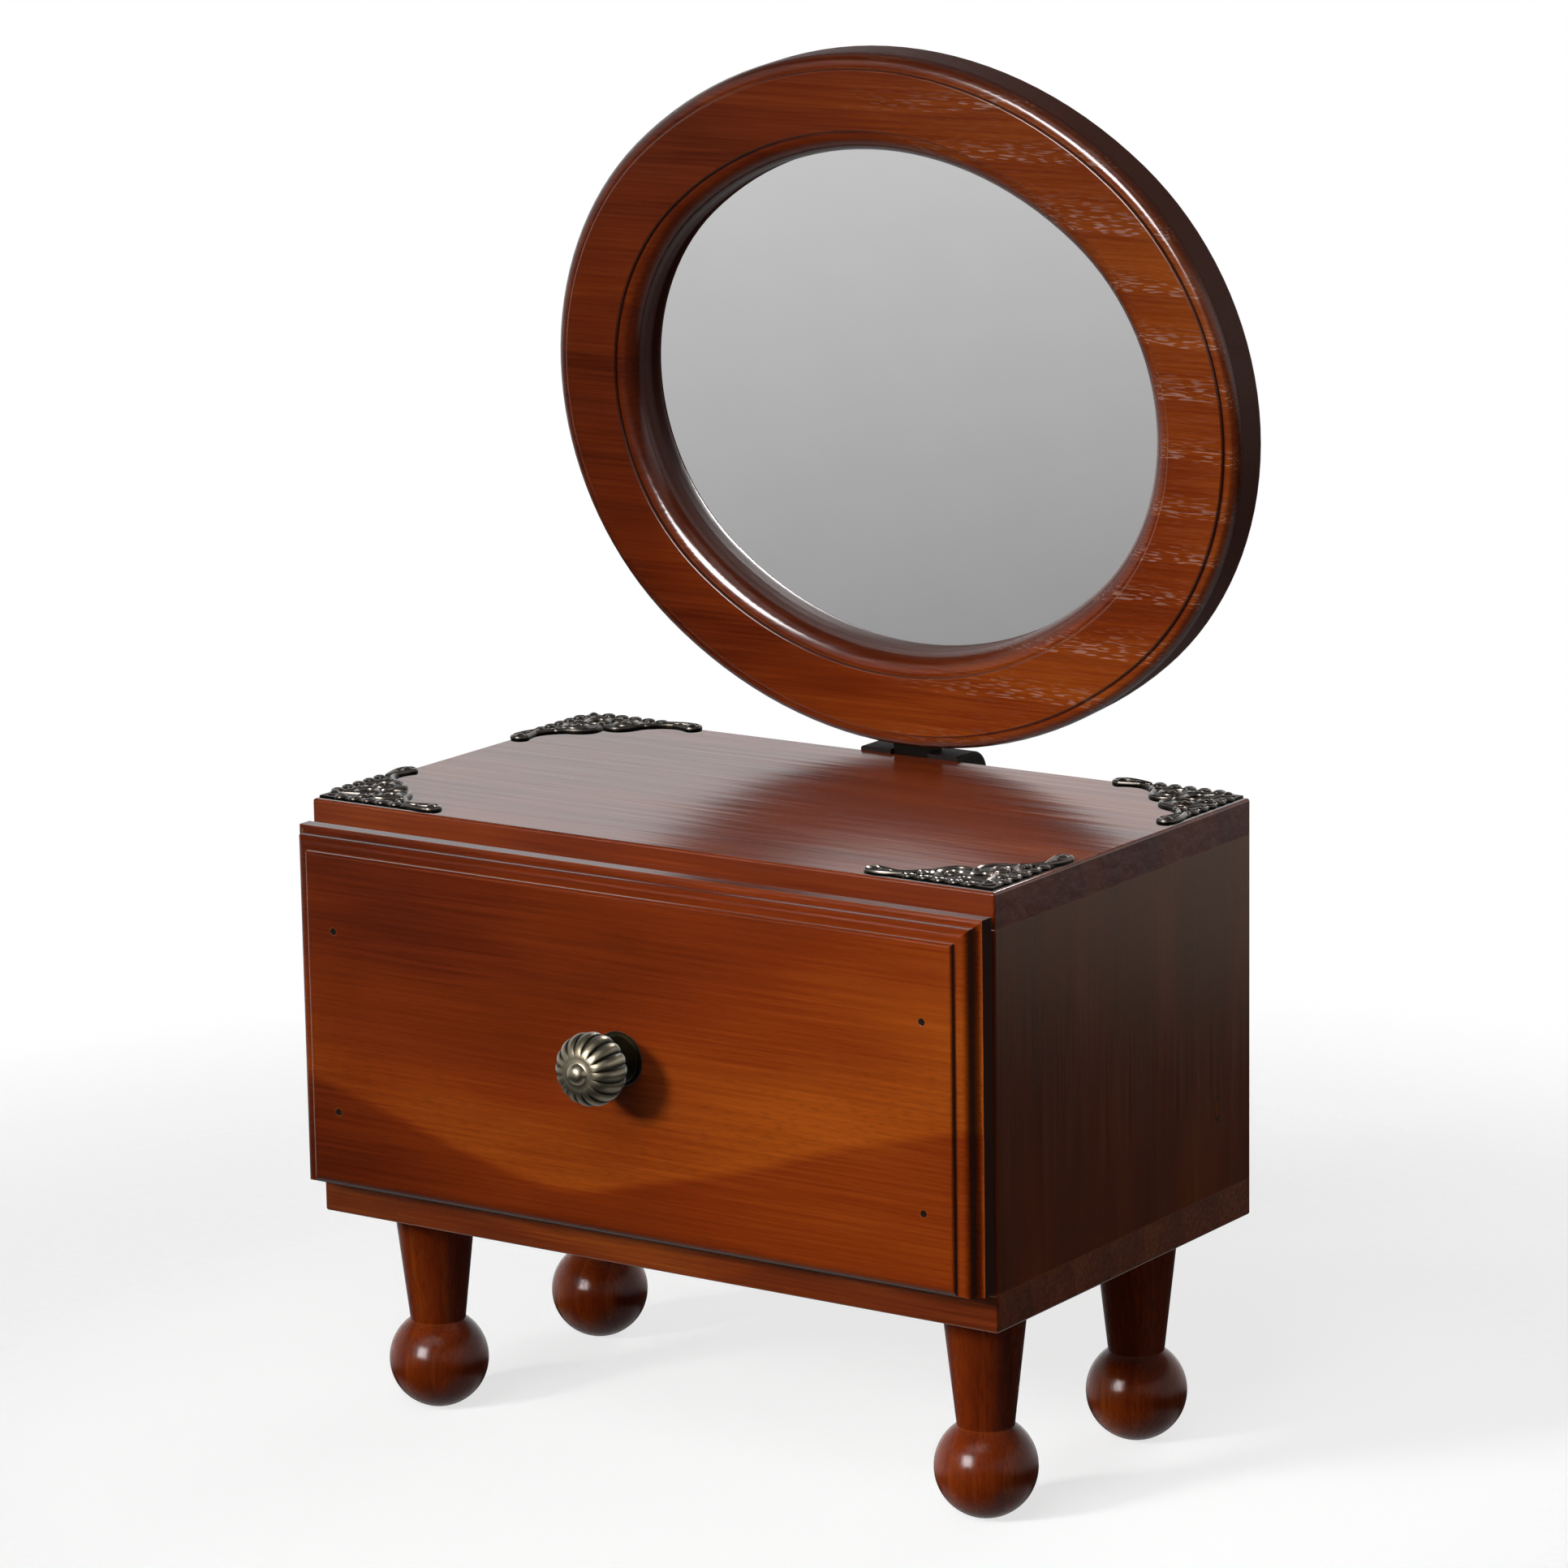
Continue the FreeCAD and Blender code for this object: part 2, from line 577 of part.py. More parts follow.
def knob_flutes(head_mouth):
    """Round-bottomed flutes that follow the head's arc from its neck to its mouth."""
    neck = V(KNOB_NECK_RADIUS, KNOB_NECK_END, 0)
    arc = Part.Arc(neck, V(KNOB_RADIUS, KNOB_HEAD_MIDDLE, 0), V(head_mouth, KNOB_HEAD_END, 0)).toShape().Curve
    base = V(0, DRAWER_FACE, KNOB_HEIGHT)
    flutes = []
    for index in range(FLUTE_COUNT):
        turn = 2 * math.pi * index / FLUTE_COUNT
        outward = V(math.cos(turn), 0, math.sin(turn))
        centre = base + outward * arc.Center.x - Y_AXIS * arc.Center.y
        bend = outward.cross(Y_AXIS)
        ring = Part.Circle(centre + outward * arc.Radius, Y_AXIS, FLUTE_RADIUS)
        section = Part.Face(Part.Wire(ring.toShape()))
        section.rotate(centre, bend, -FLUTE_SWEEP / 2)
        flutes.append(section.revolve(centre, bend, FLUTE_SWEEP))
    return Part.makeCompound(flutes)


def knob_screw():
    """Screw from inside the drawer through the front into the knob."""
    length = DRAWER_FRONT_THICKNESS + KNOB_SCREW_BITE
    seat = V(0, DRAWER_REST, KNOB_HEIGHT)
    return domed(KNOB_SCREW_RADIUS, length, KNOB_SCREW_HEAD_RADIUS, KNOB_SCREW_HEAD_HEIGHT, seat, -Y_AXIS)


def oval_sectors():
    """Four-centre oval of the sight edge: centre x and z, radius, first angle and sweep of each arc."""
    a = SIGHT_HALF_WIDTH
    b = SIGHT_HALF_HEIGHT
    chord = math.hypot(a, b)
    rest = chord - (a - b)
    end_radius = rest * chord / (2 * a)
    side_radius = b + a * a / b - rest * chord / (2 * b)
    end_centre = a - end_radius
    side_centre = side_radius - b
    join = math.degrees(math.atan2(side_centre, end_centre))
    return [
        (end_centre, 0, end_radius, -join, 2 * join),
        (0, -side_centre, side_radius, join, 180 - 2 * join),
        (-end_centre, 0, end_radius, 180 - join, 2 * join),
        (0, side_centre, side_radius, 180 + join, 180 - 2 * join),
    ]


def oval_plate(inset, depth, thickness):
    """Oval plate that reaches inset beyond the sight edge, its front at depth behind the frame's face."""
    y = FRAME_FACE + depth
    arcs = []
    for x, z, radius, first, sweep in oval_sectors():
        points = []
        for share in (0, 0.5, 1):
            angle = math.radians(first + share * sweep)
            reach = radius + inset
            points.append(V(x + reach * math.cos(angle), y, OVAL_HEIGHT + z + reach * math.sin(angle)))
        arcs.append(Part.Arc(*points).toShape())
    return Part.Face(Part.Wire(arcs)).extrude(V(0, thickness, 0))


def frame_section(radius):
    """Section of the frame for an arc of this sight radius: x from the arc's centre, y the depth."""
    face_start = INNER_MOULDING
    face_end = INNER_MOULDING + FACE_WIDTH
    ovolo_width = INNER_MOULDING - FRAME_QUIRK_FLAT
    ovolo_depth = SIGHT_EDGE_DEPTH - FRAME_QUIRK_DEPTH
    bead = RIM_WIDTH - FRAME_QUIRK_FLAT
    bead_start = face_end + FRAME_QUIRK_FLAT
    slant = math.sin(math.pi / 4)
    rear_corner = FRAME_REAR_ROUND * (1 - slant)
    arris_corner = FRAME_ARRIS * (1 - slant)

    def at(inset, depth):
        return V(radius + inset, FRAME_FACE + depth, 0)

    return outline([
        at(face_start, FRAME_ARRIS),
        (at(face_start + arris_corner, arris_corner), at(face_start + FRAME_ARRIS, 0)),
        at(face_end - FRAME_ARRIS, 0),
        (at(face_end - arris_corner, arris_corner), at(face_end, FRAME_ARRIS)),
        at(face_end, FRAME_QUIRK_DEPTH),
        at(bead_start, FRAME_QUIRK_DEPTH),
        (at(bead_start + bead * slant, FRAME_QUIRK_DEPTH + bead * (1 - slant)),
         at(FRAME_WIDTH, FRAME_QUIRK_DEPTH + bead)),
        at(FRAME_WIDTH, FRAME_THICKNESS - FRAME_REAR_ROUND),
        (at(FRAME_WIDTH - rear_corner, FRAME_THICKNESS - rear_corner),
         at(FRAME_WIDTH - FRAME_REAR_ROUND, FRAME_THICKNESS)),
        at(REBATE_WIDTH, FRAME_THICKNESS),
        at(REBATE_WIDTH, GLASS_DEPTH),
        at(0, GLASS_DEPTH),
        at(0, SIGHT_EDGE_DEPTH),
        (at(ovolo_width * (1 - slant), SIGHT_EDGE_DEPTH - ovolo_depth * slant), at(ovolo_width, FRAME_QUIRK_DEPTH)),
        at(face_start, FRAME_QUIRK_DEPTH),
    ])


def mirror_frame(fixings):
    """Oval frame with its section carried round the four arcs of the sight edge."""
    sectors = []
    for x, z, radius, first, sweep in oval_sectors():
        centre = V(x, 0, OVAL_HEIGHT + z)
        section = frame_section(radius)
        section.translate(centre)
        section.rotate(centre, -Y_AXIS, first)
        sectors.append(section.revolve(centre, -Y_AXIS, sweep))
    ring = sectors[0].multiFuse(sectors[1:]).removeSplitter()
    return ring.cut(fixings)


def clip_places():
    """Where each turn clip crosses the sight edge: the point on the frame's rear face and the way outwards."""
    places = []
    for index in range(CLIP_COUNT):
        angle = CLIP_FIRST_ANGLE + index * 360 / CLIP_COUNT
        for x, z, radius, first, sweep in oval_sectors():
            if (angle - first) % 360 < sweep:
                outward = V(math.cos(math.radians(angle)), 0, math.sin(math.radians(angle)))
                rear = V(x, FRAME_FACE + FRAME_THICKNESS, OVAL_HEIGHT + z)
                places.append((rear + outward * radius, outward))
    return places


def clip_screws():
    """Screws of the turn clips."""
    return Part.makeCompound([
        domed(CLIP_SCREW_RADIUS, CLIP_SCREW_BITE + CLIP_THICKNESS, CLIP_SCREW_HEAD_RADIUS, CLIP_SCREW_HEAD_HEIGHT,
              place + outward * (REBATE_WIDTH + CLIP_SCREW_INSET) + V(0, CLIP_THICKNESS, 0), -Y_AXIS)
        for place, outward in clip_places()
    ])


def backing_clips(screws):
    """Flat turn clips that lap over the edge of the backing."""
    clips = []
    for place, outward in clip_places():
        start = place + outward * (REBATE_WIDTH - CLIP_LAP)
        end = start + outward * CLIP_LENGTH
        aside = Y_AXIS.cross(outward) * (CLIP_WIDTH / 2)
        plate = outline([
            start - aside,
            end - aside,
            (end + outward * (CLIP_WIDTH / 2), end + aside),
            start + aside,
            (start - outward * (CLIP_WIDTH / 2), start - aside),
        ])
        clips.append(plate.extrude(V(0, CLIP_THICKNESS, 0)).cut(screws))
    return Part.makeCompound(clips)


def mirror_tongue(screws):
    """Tongue of the mirror: a knuckle on the bolt and a flat tang let into the frame."""
    half = TONGUE_WIDTH / 2
    knuckle = rod(KNUCKLE_RADIUS, TONGUE_WIDTH, V(-half, 0, 0), X_AXIS)
    bore = rod(BOLT_RADIUS + BOLT_CLEARANCE, TONGUE_WIDTH, V(-half, 0, 0), X_AXIS)
    return knuckle.fuse(tang()).removeSplitter().cut(bore).cut(screws)


def tang():
    """Flat bar from the bolt's axis up into the frame."""
    half = TONGUE_WIDTH / 2
    thick = TONGUE_THICKNESS / 2
    return board(V(-half, -thick, 0), V(half, thick, PIVOT_DROP + TANG_DEPTH))


def tongue_screws():
    """Two screws from behind that hold the tang in the frame."""
    middle = PIVOT_DROP + TANG_DEPTH / 2
    rear = FRAME_FACE + FRAME_THICKNESS
    length = rear - TONGUE_THICKNESS / 2 + TONGUE_SCREW_BITE
    return Part.makeCompound([
        countersunk(TONGUE_SCREW_RADIUS, TONGUE_SCREW_HEAD_RADIUS, length,
                    V(side * TONGUE_SCREW_SPACING / 2, rear, middle), -Y_AXIS)
        for side in (-1, 1)
    ])


def hung(shape):
    """The mirror's piece, modelled upright about the bolt, leaned forward and hung on the bolt."""
    placed = shape.copy()
    placed.rotate(ORIGIN, X_AXIS, MIRROR_LEAN)
    placed.translate(PIVOT)
    return placed


def carcass():
    """Boards, legs, ornaments and the post with its bolt."""
    dowels = panel_dowels()
    stubs = leg_dowels()
    pins = ornament_pins()
    screws = post_screws()
    bolt = pivot_bolt()
    top = board(V(-HALF_WIDTH, FRONT, TOP_UNDER), V(HALF_WIDTH, BACK, TOPSIDE))
    base = board(V(-HALF_WIDTH, FRONT, UNDERSIDE), V(HALF_WIDTH, BACK, BASE_TOP))
    left = board(V(-HALF_WIDTH, FRONT, BASE_TOP), V(-BAY_HALF_WIDTH, BACK, TOP_UNDER))
    right = board(V(BAY_HALF_WIDTH, FRONT, BASE_TOP), V(HALF_WIDTH, BACK, TOP_UNDER))
    back = board(V(-BAY_HALF_WIDTH, BAY_REAR, BASE_TOP), V(BAY_HALF_WIDTH, BACK, TOP_UNDER))
    pieces = {
        "top_panel": eased(top, lambda p: near(p.z, TOPSIDE) or is_outer_corner(p) or is_front_edge(p)).cut(dowels).cut(pins),
        "bottom_panel": eased(base, lambda p: near(p.z, UNDERSIDE) or is_outer_corner(p) or is_front_edge(p)).cut(dowels).cut(stubs),
        "left_side_panel": eased(left, is_outer_corner).cut(dowels),
        "right_side_panel": eased(right, is_outer_corner).cut(dowels),
        "back_panel": back.cut(screws),
        "panel_dowels": dowels,
        "leg_dowels": stubs,
        "ornament_pins": pins,
        "support_post": support_post(screws),
        "post_screws": screws,
        "pivot_bolt": bolt,
        "pivot_washers": pivot_washers(),
        "pivot_thumb_nut": pivot_nut(bolt),
    }
    for name, place in leg_places().items():
        pieces["leg_" + name] = leg(place, stubs)
    for name, (corner, along_x, along_y) in corner_places().items():
        pieces["corner_ornament_" + name] = ornament(corner, along_x, along_y, pins)
    return pieces


def drawer():
    """Drawer box, its moulded front, the knob and the fasteners."""
    brads = front_brads()
    screw = knob_screw()
    bottom = drawer_bottom()
    return {
        "drawer_front": drawer_front(Part.makeCompound([brads, screw, brad_pits()])),
        "drawer_left_side": drawer_side(-1, bottom, brads),
        "drawer_right_side": drawer_side(1, bottom, brads),
        "drawer_back": drawer_back(bottom),
        "drawer_bottom": bottom,
        "front_brads": brads,
        "drawer_knob": knob(screw),
        "knob_screw": screw,
    }


def mirror():
    """Frame, glass, backing, clips and the tongue, hung on the bolt."""
    clip_fixings = clip_screws()
    tongue_fixings = tongue_screws()
    reach = REBATE_WIDTH - GLASS_EDGE_CLEARANCE
    pieces = {
        "mirror_frame": mirror_frame(Part.makeCompound([tang(), clip_fixings, tongue_fixings])),
        "mirror_glass": oval_plate(reach, GLASS_DEPTH, GLASS_THICKNESS),
        "mirror_backing": oval_plate(reach, GLASS_DEPTH + GLASS_THICKNESS, BACKING_THICKNESS),
        "backing_clips": backing_clips(clip_fixings),
        "clip_screws": clip_fixings,
        "mirror_tongue": mirror_tongue(tongue_fixings),
        "tongue_screws": tongue_fixings,
    }
    return {name: hung(shape) for name, shape in pieces.items()}


def main():
    """Build every piece and write it to its own file."""
    os.makedirs("parts", exist_ok=True)
    pieces = {**carcass(), **drawer(), **mirror()}
    for name, shape in pieces.items():
        shape.exportStep(os.path.join("parts", name + ".step"))
        print(name, "solids", len(shape.Solids), "volume", round(shape.Volume, 1), "valid", shape.isValid())
    box = Part.makeCompound(list(pieces.values())).optimalBoundingBox()
    print("overall", [round(length, 3) for length in (box.XMin, box.YMin, box.ZMin, box.XMax, box.YMax, box.ZMax)])
    print("tilt axis at", [round(length, 3) for length in PIVOT], "carcass front at", round(FRONT, 3))


main()
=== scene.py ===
"""Vanity mirror: a stained hardwood box with one drawer, filigree corners and an oval mirror on a rear post.

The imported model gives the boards, legs, mouldings, glass and fasteners. This script gives each of them its
finish, replaces the pieces whose ornament is finer than their solids, and sets the studio round them.
Sizes are in millimetres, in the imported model's frame: X to the right, Y to the back, Z up from the floor.
"""

import json
import logging
import math
from collections.abc import Callable, Iterable, Sequence
from dataclasses import dataclass
from enum import Enum

import bmesh
import bpy
from mathutils import Matrix, Vector

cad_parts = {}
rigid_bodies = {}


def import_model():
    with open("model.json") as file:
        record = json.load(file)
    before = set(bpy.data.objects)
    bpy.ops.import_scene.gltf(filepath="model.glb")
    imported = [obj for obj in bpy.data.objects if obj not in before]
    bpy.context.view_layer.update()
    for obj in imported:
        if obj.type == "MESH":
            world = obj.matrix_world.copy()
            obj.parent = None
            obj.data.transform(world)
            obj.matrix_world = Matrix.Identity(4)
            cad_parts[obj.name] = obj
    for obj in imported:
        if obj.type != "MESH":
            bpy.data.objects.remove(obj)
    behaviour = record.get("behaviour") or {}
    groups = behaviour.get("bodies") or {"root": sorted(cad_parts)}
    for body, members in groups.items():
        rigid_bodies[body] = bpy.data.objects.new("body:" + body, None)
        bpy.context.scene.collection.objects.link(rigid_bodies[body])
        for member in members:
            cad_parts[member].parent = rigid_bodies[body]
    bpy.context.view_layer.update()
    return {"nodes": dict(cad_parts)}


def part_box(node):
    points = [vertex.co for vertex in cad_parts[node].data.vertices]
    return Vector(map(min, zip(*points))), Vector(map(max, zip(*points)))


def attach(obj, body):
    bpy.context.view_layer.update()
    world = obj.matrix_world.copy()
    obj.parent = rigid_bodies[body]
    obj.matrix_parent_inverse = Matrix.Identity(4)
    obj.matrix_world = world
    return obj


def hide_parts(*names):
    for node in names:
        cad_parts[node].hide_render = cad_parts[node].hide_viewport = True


# The start-up objects go first, so that only the model counts in its box
bpy.data.batch_remove(bpy.data.objects)
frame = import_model()

LOG = logging.getLogger("vanity_mirror")
MM = 0.001
RECESS = "recess"

# Length, width and depth of each pattern in wood, in millimetres
WANDER = (130.0, 45.0, 45.0)
BLOTCH = (70.0, 26.0, 26.0)
RIPPLE = (45.0, 4.0, 4.0)
# Fibres are a tenth and pores a fifth of a millimetre wide, drawn coarser so that they show
FIBRE = (38.0, 0.8, 0.8)
PORE = (3.6, 0.42, 0.42)
# Reach over which pores set in along a board, and the radius to which arrises are rubbed
PORES_FADE_MM = 40.0
RUBBED_MM = 0.9
# Filled nail hole along and across the grain
NAIL_MM = (3.6, 1.6)
# How much fibres, pores and walls dull a lacquer, how much painted shade a wall takes, and how much gloss it
# loses
FIBRE_DULLS = 0.16
PORE_DULLS = 0.25
WALL_DULLS = 0.35
WALL_PAINTED_SHADE = 0.9
WALL_GLOSS_LOST = 0.8

Point = tuple[float, float]
Place = tuple[float, float, float]
Colour = tuple[float, float, float, float]
Shape = tuple[list[Place], list[list[int]]]
Tree = bpy.types.NodeTree
Socket = bpy.types.NodeSocket
Material = bpy.types.Material
Mesh = bpy.types.Mesh


class Body(Enum):
    """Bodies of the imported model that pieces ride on."""

    CARCASS = "carcass"
    DRAWER = "drawer"
    MIRROR = "mirror"


class Slot(Enum):
    """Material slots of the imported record."""

    BRASS = "antique_brass"
    STEEL = "plated_steel"


class Grain(Enum):
    """How a board is cut: the part's axes along the fibres, across them and through the board."""

    LYING = "XYZ"
    STANDING = "XZY"
    UPRIGHT_SIDE = "ZYX"
    UPRIGHT_TURNED = "ZXY"
    FRONT_TO_BACK = "YZX"


class Throw(Enum):
    """What a lamp does: light surfaces, or show in their polish."""

    WASH = "wash"
    GLEAM = "gleam"


class Drive(Enum):
    """Driver recess of a screw head."""

    SLOT = "slot"
    CROSS = "cross"


def linear(hex_colour: str) -> Colour:
    """Turn an sRGB hex colour into a linear one.

    Args:
        hex_colour: Colour as "#rrggbb".

    Returns:
        Linear red, green and blue, with an alpha of 1.
    """
    shares = [int(hex_colour[start:start + 2], 16) / 255 for start in (1, 3, 5)]
    red, green, blue = (s / 12.92 if s <= 0.04045 else ((s + 0.055) / 1.055) ** 2.4 for s in shares)
    return red, green, blue, 1.0


def grey(value: float) -> Colour:
    """Neutral linear colour of one value."""
    return value, value, value, 1.0


def add_node(tree: Tree, kind: str, inputs: dict | None = None, stops: Sequence[tuple[float, Colour]] = (),
             **settings: object) -> bpy.types.Node:
    """Add a shader node with its settings and links.

    Args:
        tree: Node tree that gets the node.
        kind: Node type without its ShaderNode prefix.
        inputs: A value or an output socket for each input, by name or index.
        stops: Positions and colours of a colour ramp.
        settings: Properties of the node.

    Returns:
        The new node.
    """
    node = tree.nodes.new("ShaderNode" + kind)
    for name, value in settings.items():
        setattr(node, name, value)
    for key, value in (inputs or {}).items():
        if isinstance(value, Socket):
            tree.links.new(value, node.inputs[key])
        else:
            node.inputs[key].default_value = value
    for index, (position, colour) in enumerate(stops):
        elements = node.color_ramp.elements
        element = elements[index] if index < len(elements) else elements.new(position)
        element.position = position
        element.color = colour
    return node


def weighted_sum(tree: Tree, offset: float, parts: Iterable[tuple[Socket, float]]) -> Socket:
    """Sum of sockets, each times its weight.

    Args:
        tree: Node tree that gets the nodes.
        offset: Value that the sum starts from.
        parts: Sockets and their weights.

    Returns:
        Socket of the sum.
    """
    total: Socket | float = offset
    for socket, weight in parts:
        total = add_node(tree, "Math", {0: socket, 1: weight, 2: total}, operation="MULTIPLY_ADD").outputs[0]
    return total


def overlaid(tree: Tree, colour: Socket, coats: Iterable[tuple[Socket, str]]) -> Socket:
    """Lay coats over a colour, each by its share.

    Args:
        tree: Node tree that gets the nodes.
        colour: Colour under the coats.
        coats: Share and sRGB hex colour of each coat.

    Returns:
        Socket of the colour on top.
    """
    for share, coat in coats:
        mix = add_node(tree, "Mix", {0: share, 6: colour, 7: linear(coat)}, data_type="RGBA")
        colour = mix.outputs[2]
    return colour


def start_material(name: str) -> tuple[Material, Tree]:
    """Start an empty node material.

    Args:
        name: Name of the finish.

    Returns:
        The material and its node tree.
    """
    material = bpy.data.materials.new(name)
    material.use_nodes = True
    material.node_tree.nodes.clear()
    return material, material.node_tree


@dataclass(frozen=True)
class Wood:
    """Ring-porous hardwood, planed or turned, then stained and lacquered or left bare.

    The eye sees broad growth bands, fine fibre streaks, short open pores and uneven stain, with arrises
    rubbed paler. A painted falloff of light lightens the tone along the grain, and painted shade darkens
    mouldings and walls that turn from the face.
    """

    name: str
    grain: Grain
    dark: str
    middle: str
    light: str
    pore: str
    cut: Place = (0.0, 0.0, 0.0)
    ring_mm: float = 17.0
    sweep_mm: float = 0.0
    arch_mm: float = 12.0
    wander_mm: float = 9.0
    ring_share: float = 0.12
    middle_wood: float = 0.4
    late_wood: float = 1.0
    boundary_mm: float = 0.7
    fibre_share: float = 0.5
    blotch_share: float = 0.6
    # Painted falloff of light: share per 100 mm by which the tone lightens along the grain
    painted_falloff_share: float = 0.0
    pore_share: float = 0.4
    pore_bands: float = 0.5
    pores_from_mm: float = -1000.0
    roughness: float = 0.3
    specular: float = 0.3
    sheen: str = "#ffffff"
    rub: float = 0.45
    relief_mm: float = 0.06
    ripple_mm: float = 0.0
    # The face, and the two fields after it, lay painted shade on mouldings and walls that turn from the face
    face: Place | None = None
    painted_shade_colour: str = "#381509"
    moulding_shade_share: float = 0.6
    filled_nail: Point | None = None

    def streaks(self, tree: Tree, board: Socket, size: Place, detail: float) -> Socket:
        """Noise drawn out along the grain.

        Args:
            tree: Node tree of the finish.
            board: Position on the board in millimetres, fibres along x.
            size: Length, width and depth of one streak in millimetres.
            detail: Octaves of finer streaks.

        Returns:
            Socket that runs from 0 to 1.
        """
        shares = [1 / length for length in size]
        scaled = add_node(tree, "VectorMath", {0: board, 1: shares}, operation="MULTIPLY").outputs[0]
        return add_node(tree, "TexNoise", {"Vector": scaled, "Scale": 1.0, "Detail": detail}).outputs[0]

    def growth(self, tree: Tree, board: Socket, along: Socket) -> Socket:
        """Growth bands: pale after each boundary, darker to the next, arched where the cut sweeps.

        Args:
            tree: Node tree of the finish.
            board: Position on the board in millimetres, fibres along x.
            along: Position along the fibres.

        Returns:
            Socket that runs from 0, pale, to 1, dark.
        """
        wander = self.streaks(tree, board, WANDER, 2.0)
        depth = add_node(tree, "VectorMath", {0: board, 1: (0.0, 1.0, 0.3)}, operation="DOT_PRODUCT")
        squared = add_node(tree, "Math", {0: along, 1: along, 2: self.arch_mm ** 2}, operation="MULTIPLY_ADD")
        arch = add_node(tree, "Math", {0: squared.outputs[0]}, operation="SQRT").outputs[0]
        slope = self.sweep_mm / 100.0
        rings = weighted_sum(tree, (slope * self.arch_mm - self.wander_mm) / self.ring_mm, [
            (depth.outputs["Value"], 1 / self.ring_mm),
            (wander, 2 * self.wander_mm / self.ring_mm),
            (arch, -slope / self.ring_mm),
        ])
        phase = add_node(tree, "Math", {0: rings}, operation="FRACT").outputs[0]
        edge = self.boundary_mm / self.ring_mm
        stops = [(0.0, grey(self.late_wood)), (edge, grey(0.0)), (0.55, grey(self.middle_wood)),
                 (0.985, grey(self.late_wood))]
        return add_node(tree, "ValToRGB", {0: phase}, stops).outputs[0]

    def open_pores(self, tree: Tree, board: Socket, along: Socket, ring: Socket) -> Socket:
        """Short open pores, crowded into the pale start of each growth band.

        Args:
            tree: Node tree of the finish.
            board: Position on the board in millimetres, fibres along x.
            along: Position along the fibres.
            ring: Growth bands.

        Returns:
            Socket that is above 0 in a pore.
        """
        dash = self.streaks(tree, board, PORE, 0.0)
        dashes = add_node(tree, "ValToRGB", {0: dash}, [(0.55, grey(0.0)), (0.66, grey(1.0))]).outputs[0]
        stops = [(0.12, grey(self.pore_share)), (0.4, grey(self.pore_share * (1 - self.pore_bands)))]
        crowd = add_node(tree, "ValToRGB", {0: ring}, stops).outputs[0]
        reach = weighted_sum(tree, -self.pores_from_mm / PORES_FADE_MM, [(along, 1 / PORES_FADE_MM)])
        shown = add_node(tree, "Clamp", {0: reach}).outputs[0]
        near = add_node(tree, "Math", {0: dashes, 1: crowd}, operation="MULTIPLY").outputs[0]
        return add_node(tree, "Math", {0: near, 1: shown}, operation="MULTIPLY").outputs[0]

    def rubbed(self, tree: Tree) -> Socket:
        """Share of stain rubbed off arrises, where the rounded normal leaves the flat one.

        Args:
            tree: Node tree of the finish.

        Returns:
            Socket that is above 0 on an arris.
        """
        rounded = add_node(tree, "Bevel", {"Radius": RUBBED_MM * MM}, samples=4).outputs[0]
        flat = add_node(tree, "NewGeometry").outputs["Normal"]
        facing = add_node(tree, "VectorMath", {0: rounded, 1: flat}, operation="DOT_PRODUCT")
        stops = [(0.86, grey(self.rub)), (0.99, grey(0.0))]
        return add_node(tree, "ValToRGB", {0: facing.outputs["Value"]}, stops).outputs[0]

    def painted_shade_off_face(self, tree: Tree) -> Socket:
        """Share of painted shade, which darkens where mouldings turn away from a board's face.

        Args:
            tree: Node tree of the finish.

        Returns:
            Socket that runs from 0 on the face to 1 on a wall square to it.
        """
        normal = add_node(tree, "TexCoord").outputs["Normal"]
        facing = add_node(tree, "VectorMath", {0: normal, 1: self.face}, operation="DOT_PRODUCT")
        square = add_node(tree, "Math", {0: facing.outputs["Value"]}, operation="ABSOLUTE").outputs[0]
        stops = [(0.1, grey(1.0)), (0.9, grey(self.moulding_shade_share)), (0.99, grey(0.0))]
        return add_node(tree, "ValToRGB", {0: square}, stops).outputs[0]

    def with_filled_nail(self, tree: Tree, board: Socket, colour: Socket) -> Socket:
        """Add a nail hole filled with putty: a pale oval with a dark rim.

        Args:
            tree: Node tree of the finish.
            board: Position on the board in millimetres, fibres along x.
            colour: Colour of the wood round it.

        Returns:
            Colour with the filled hole in it.
        """
        place = (*self.filled_nail, 0.0)
        shares = (1 / NAIL_MM[0], 1 / NAIL_MM[1], 0.0)
        shifted = add_node(tree, "VectorMath", {0: board, 1: place}, operation="SUBTRACT").outputs[0]
        shaped = add_node(tree, "VectorMath", {0: shifted, 1: shares}, operation="MULTIPLY").outputs[0]
        away = add_node(tree, "VectorMath", {0: shaped}, operation="LENGTH").outputs["Value"]
        rim_stops = [(0.6, grey(0.0)), (0.8, grey(0.8)), (1.0, grey(0.0))]
        rim = add_node(tree, "ValToRGB", {0: away}, rim_stops).outputs[0]
        core = add_node(tree, "ValToRGB", {0: away}, [(0.4, grey(0.5)), (0.7, grey(0.0))]).outputs[0]
        return overlaid(tree, colour, [(rim, self.pore), (core, self.light)])

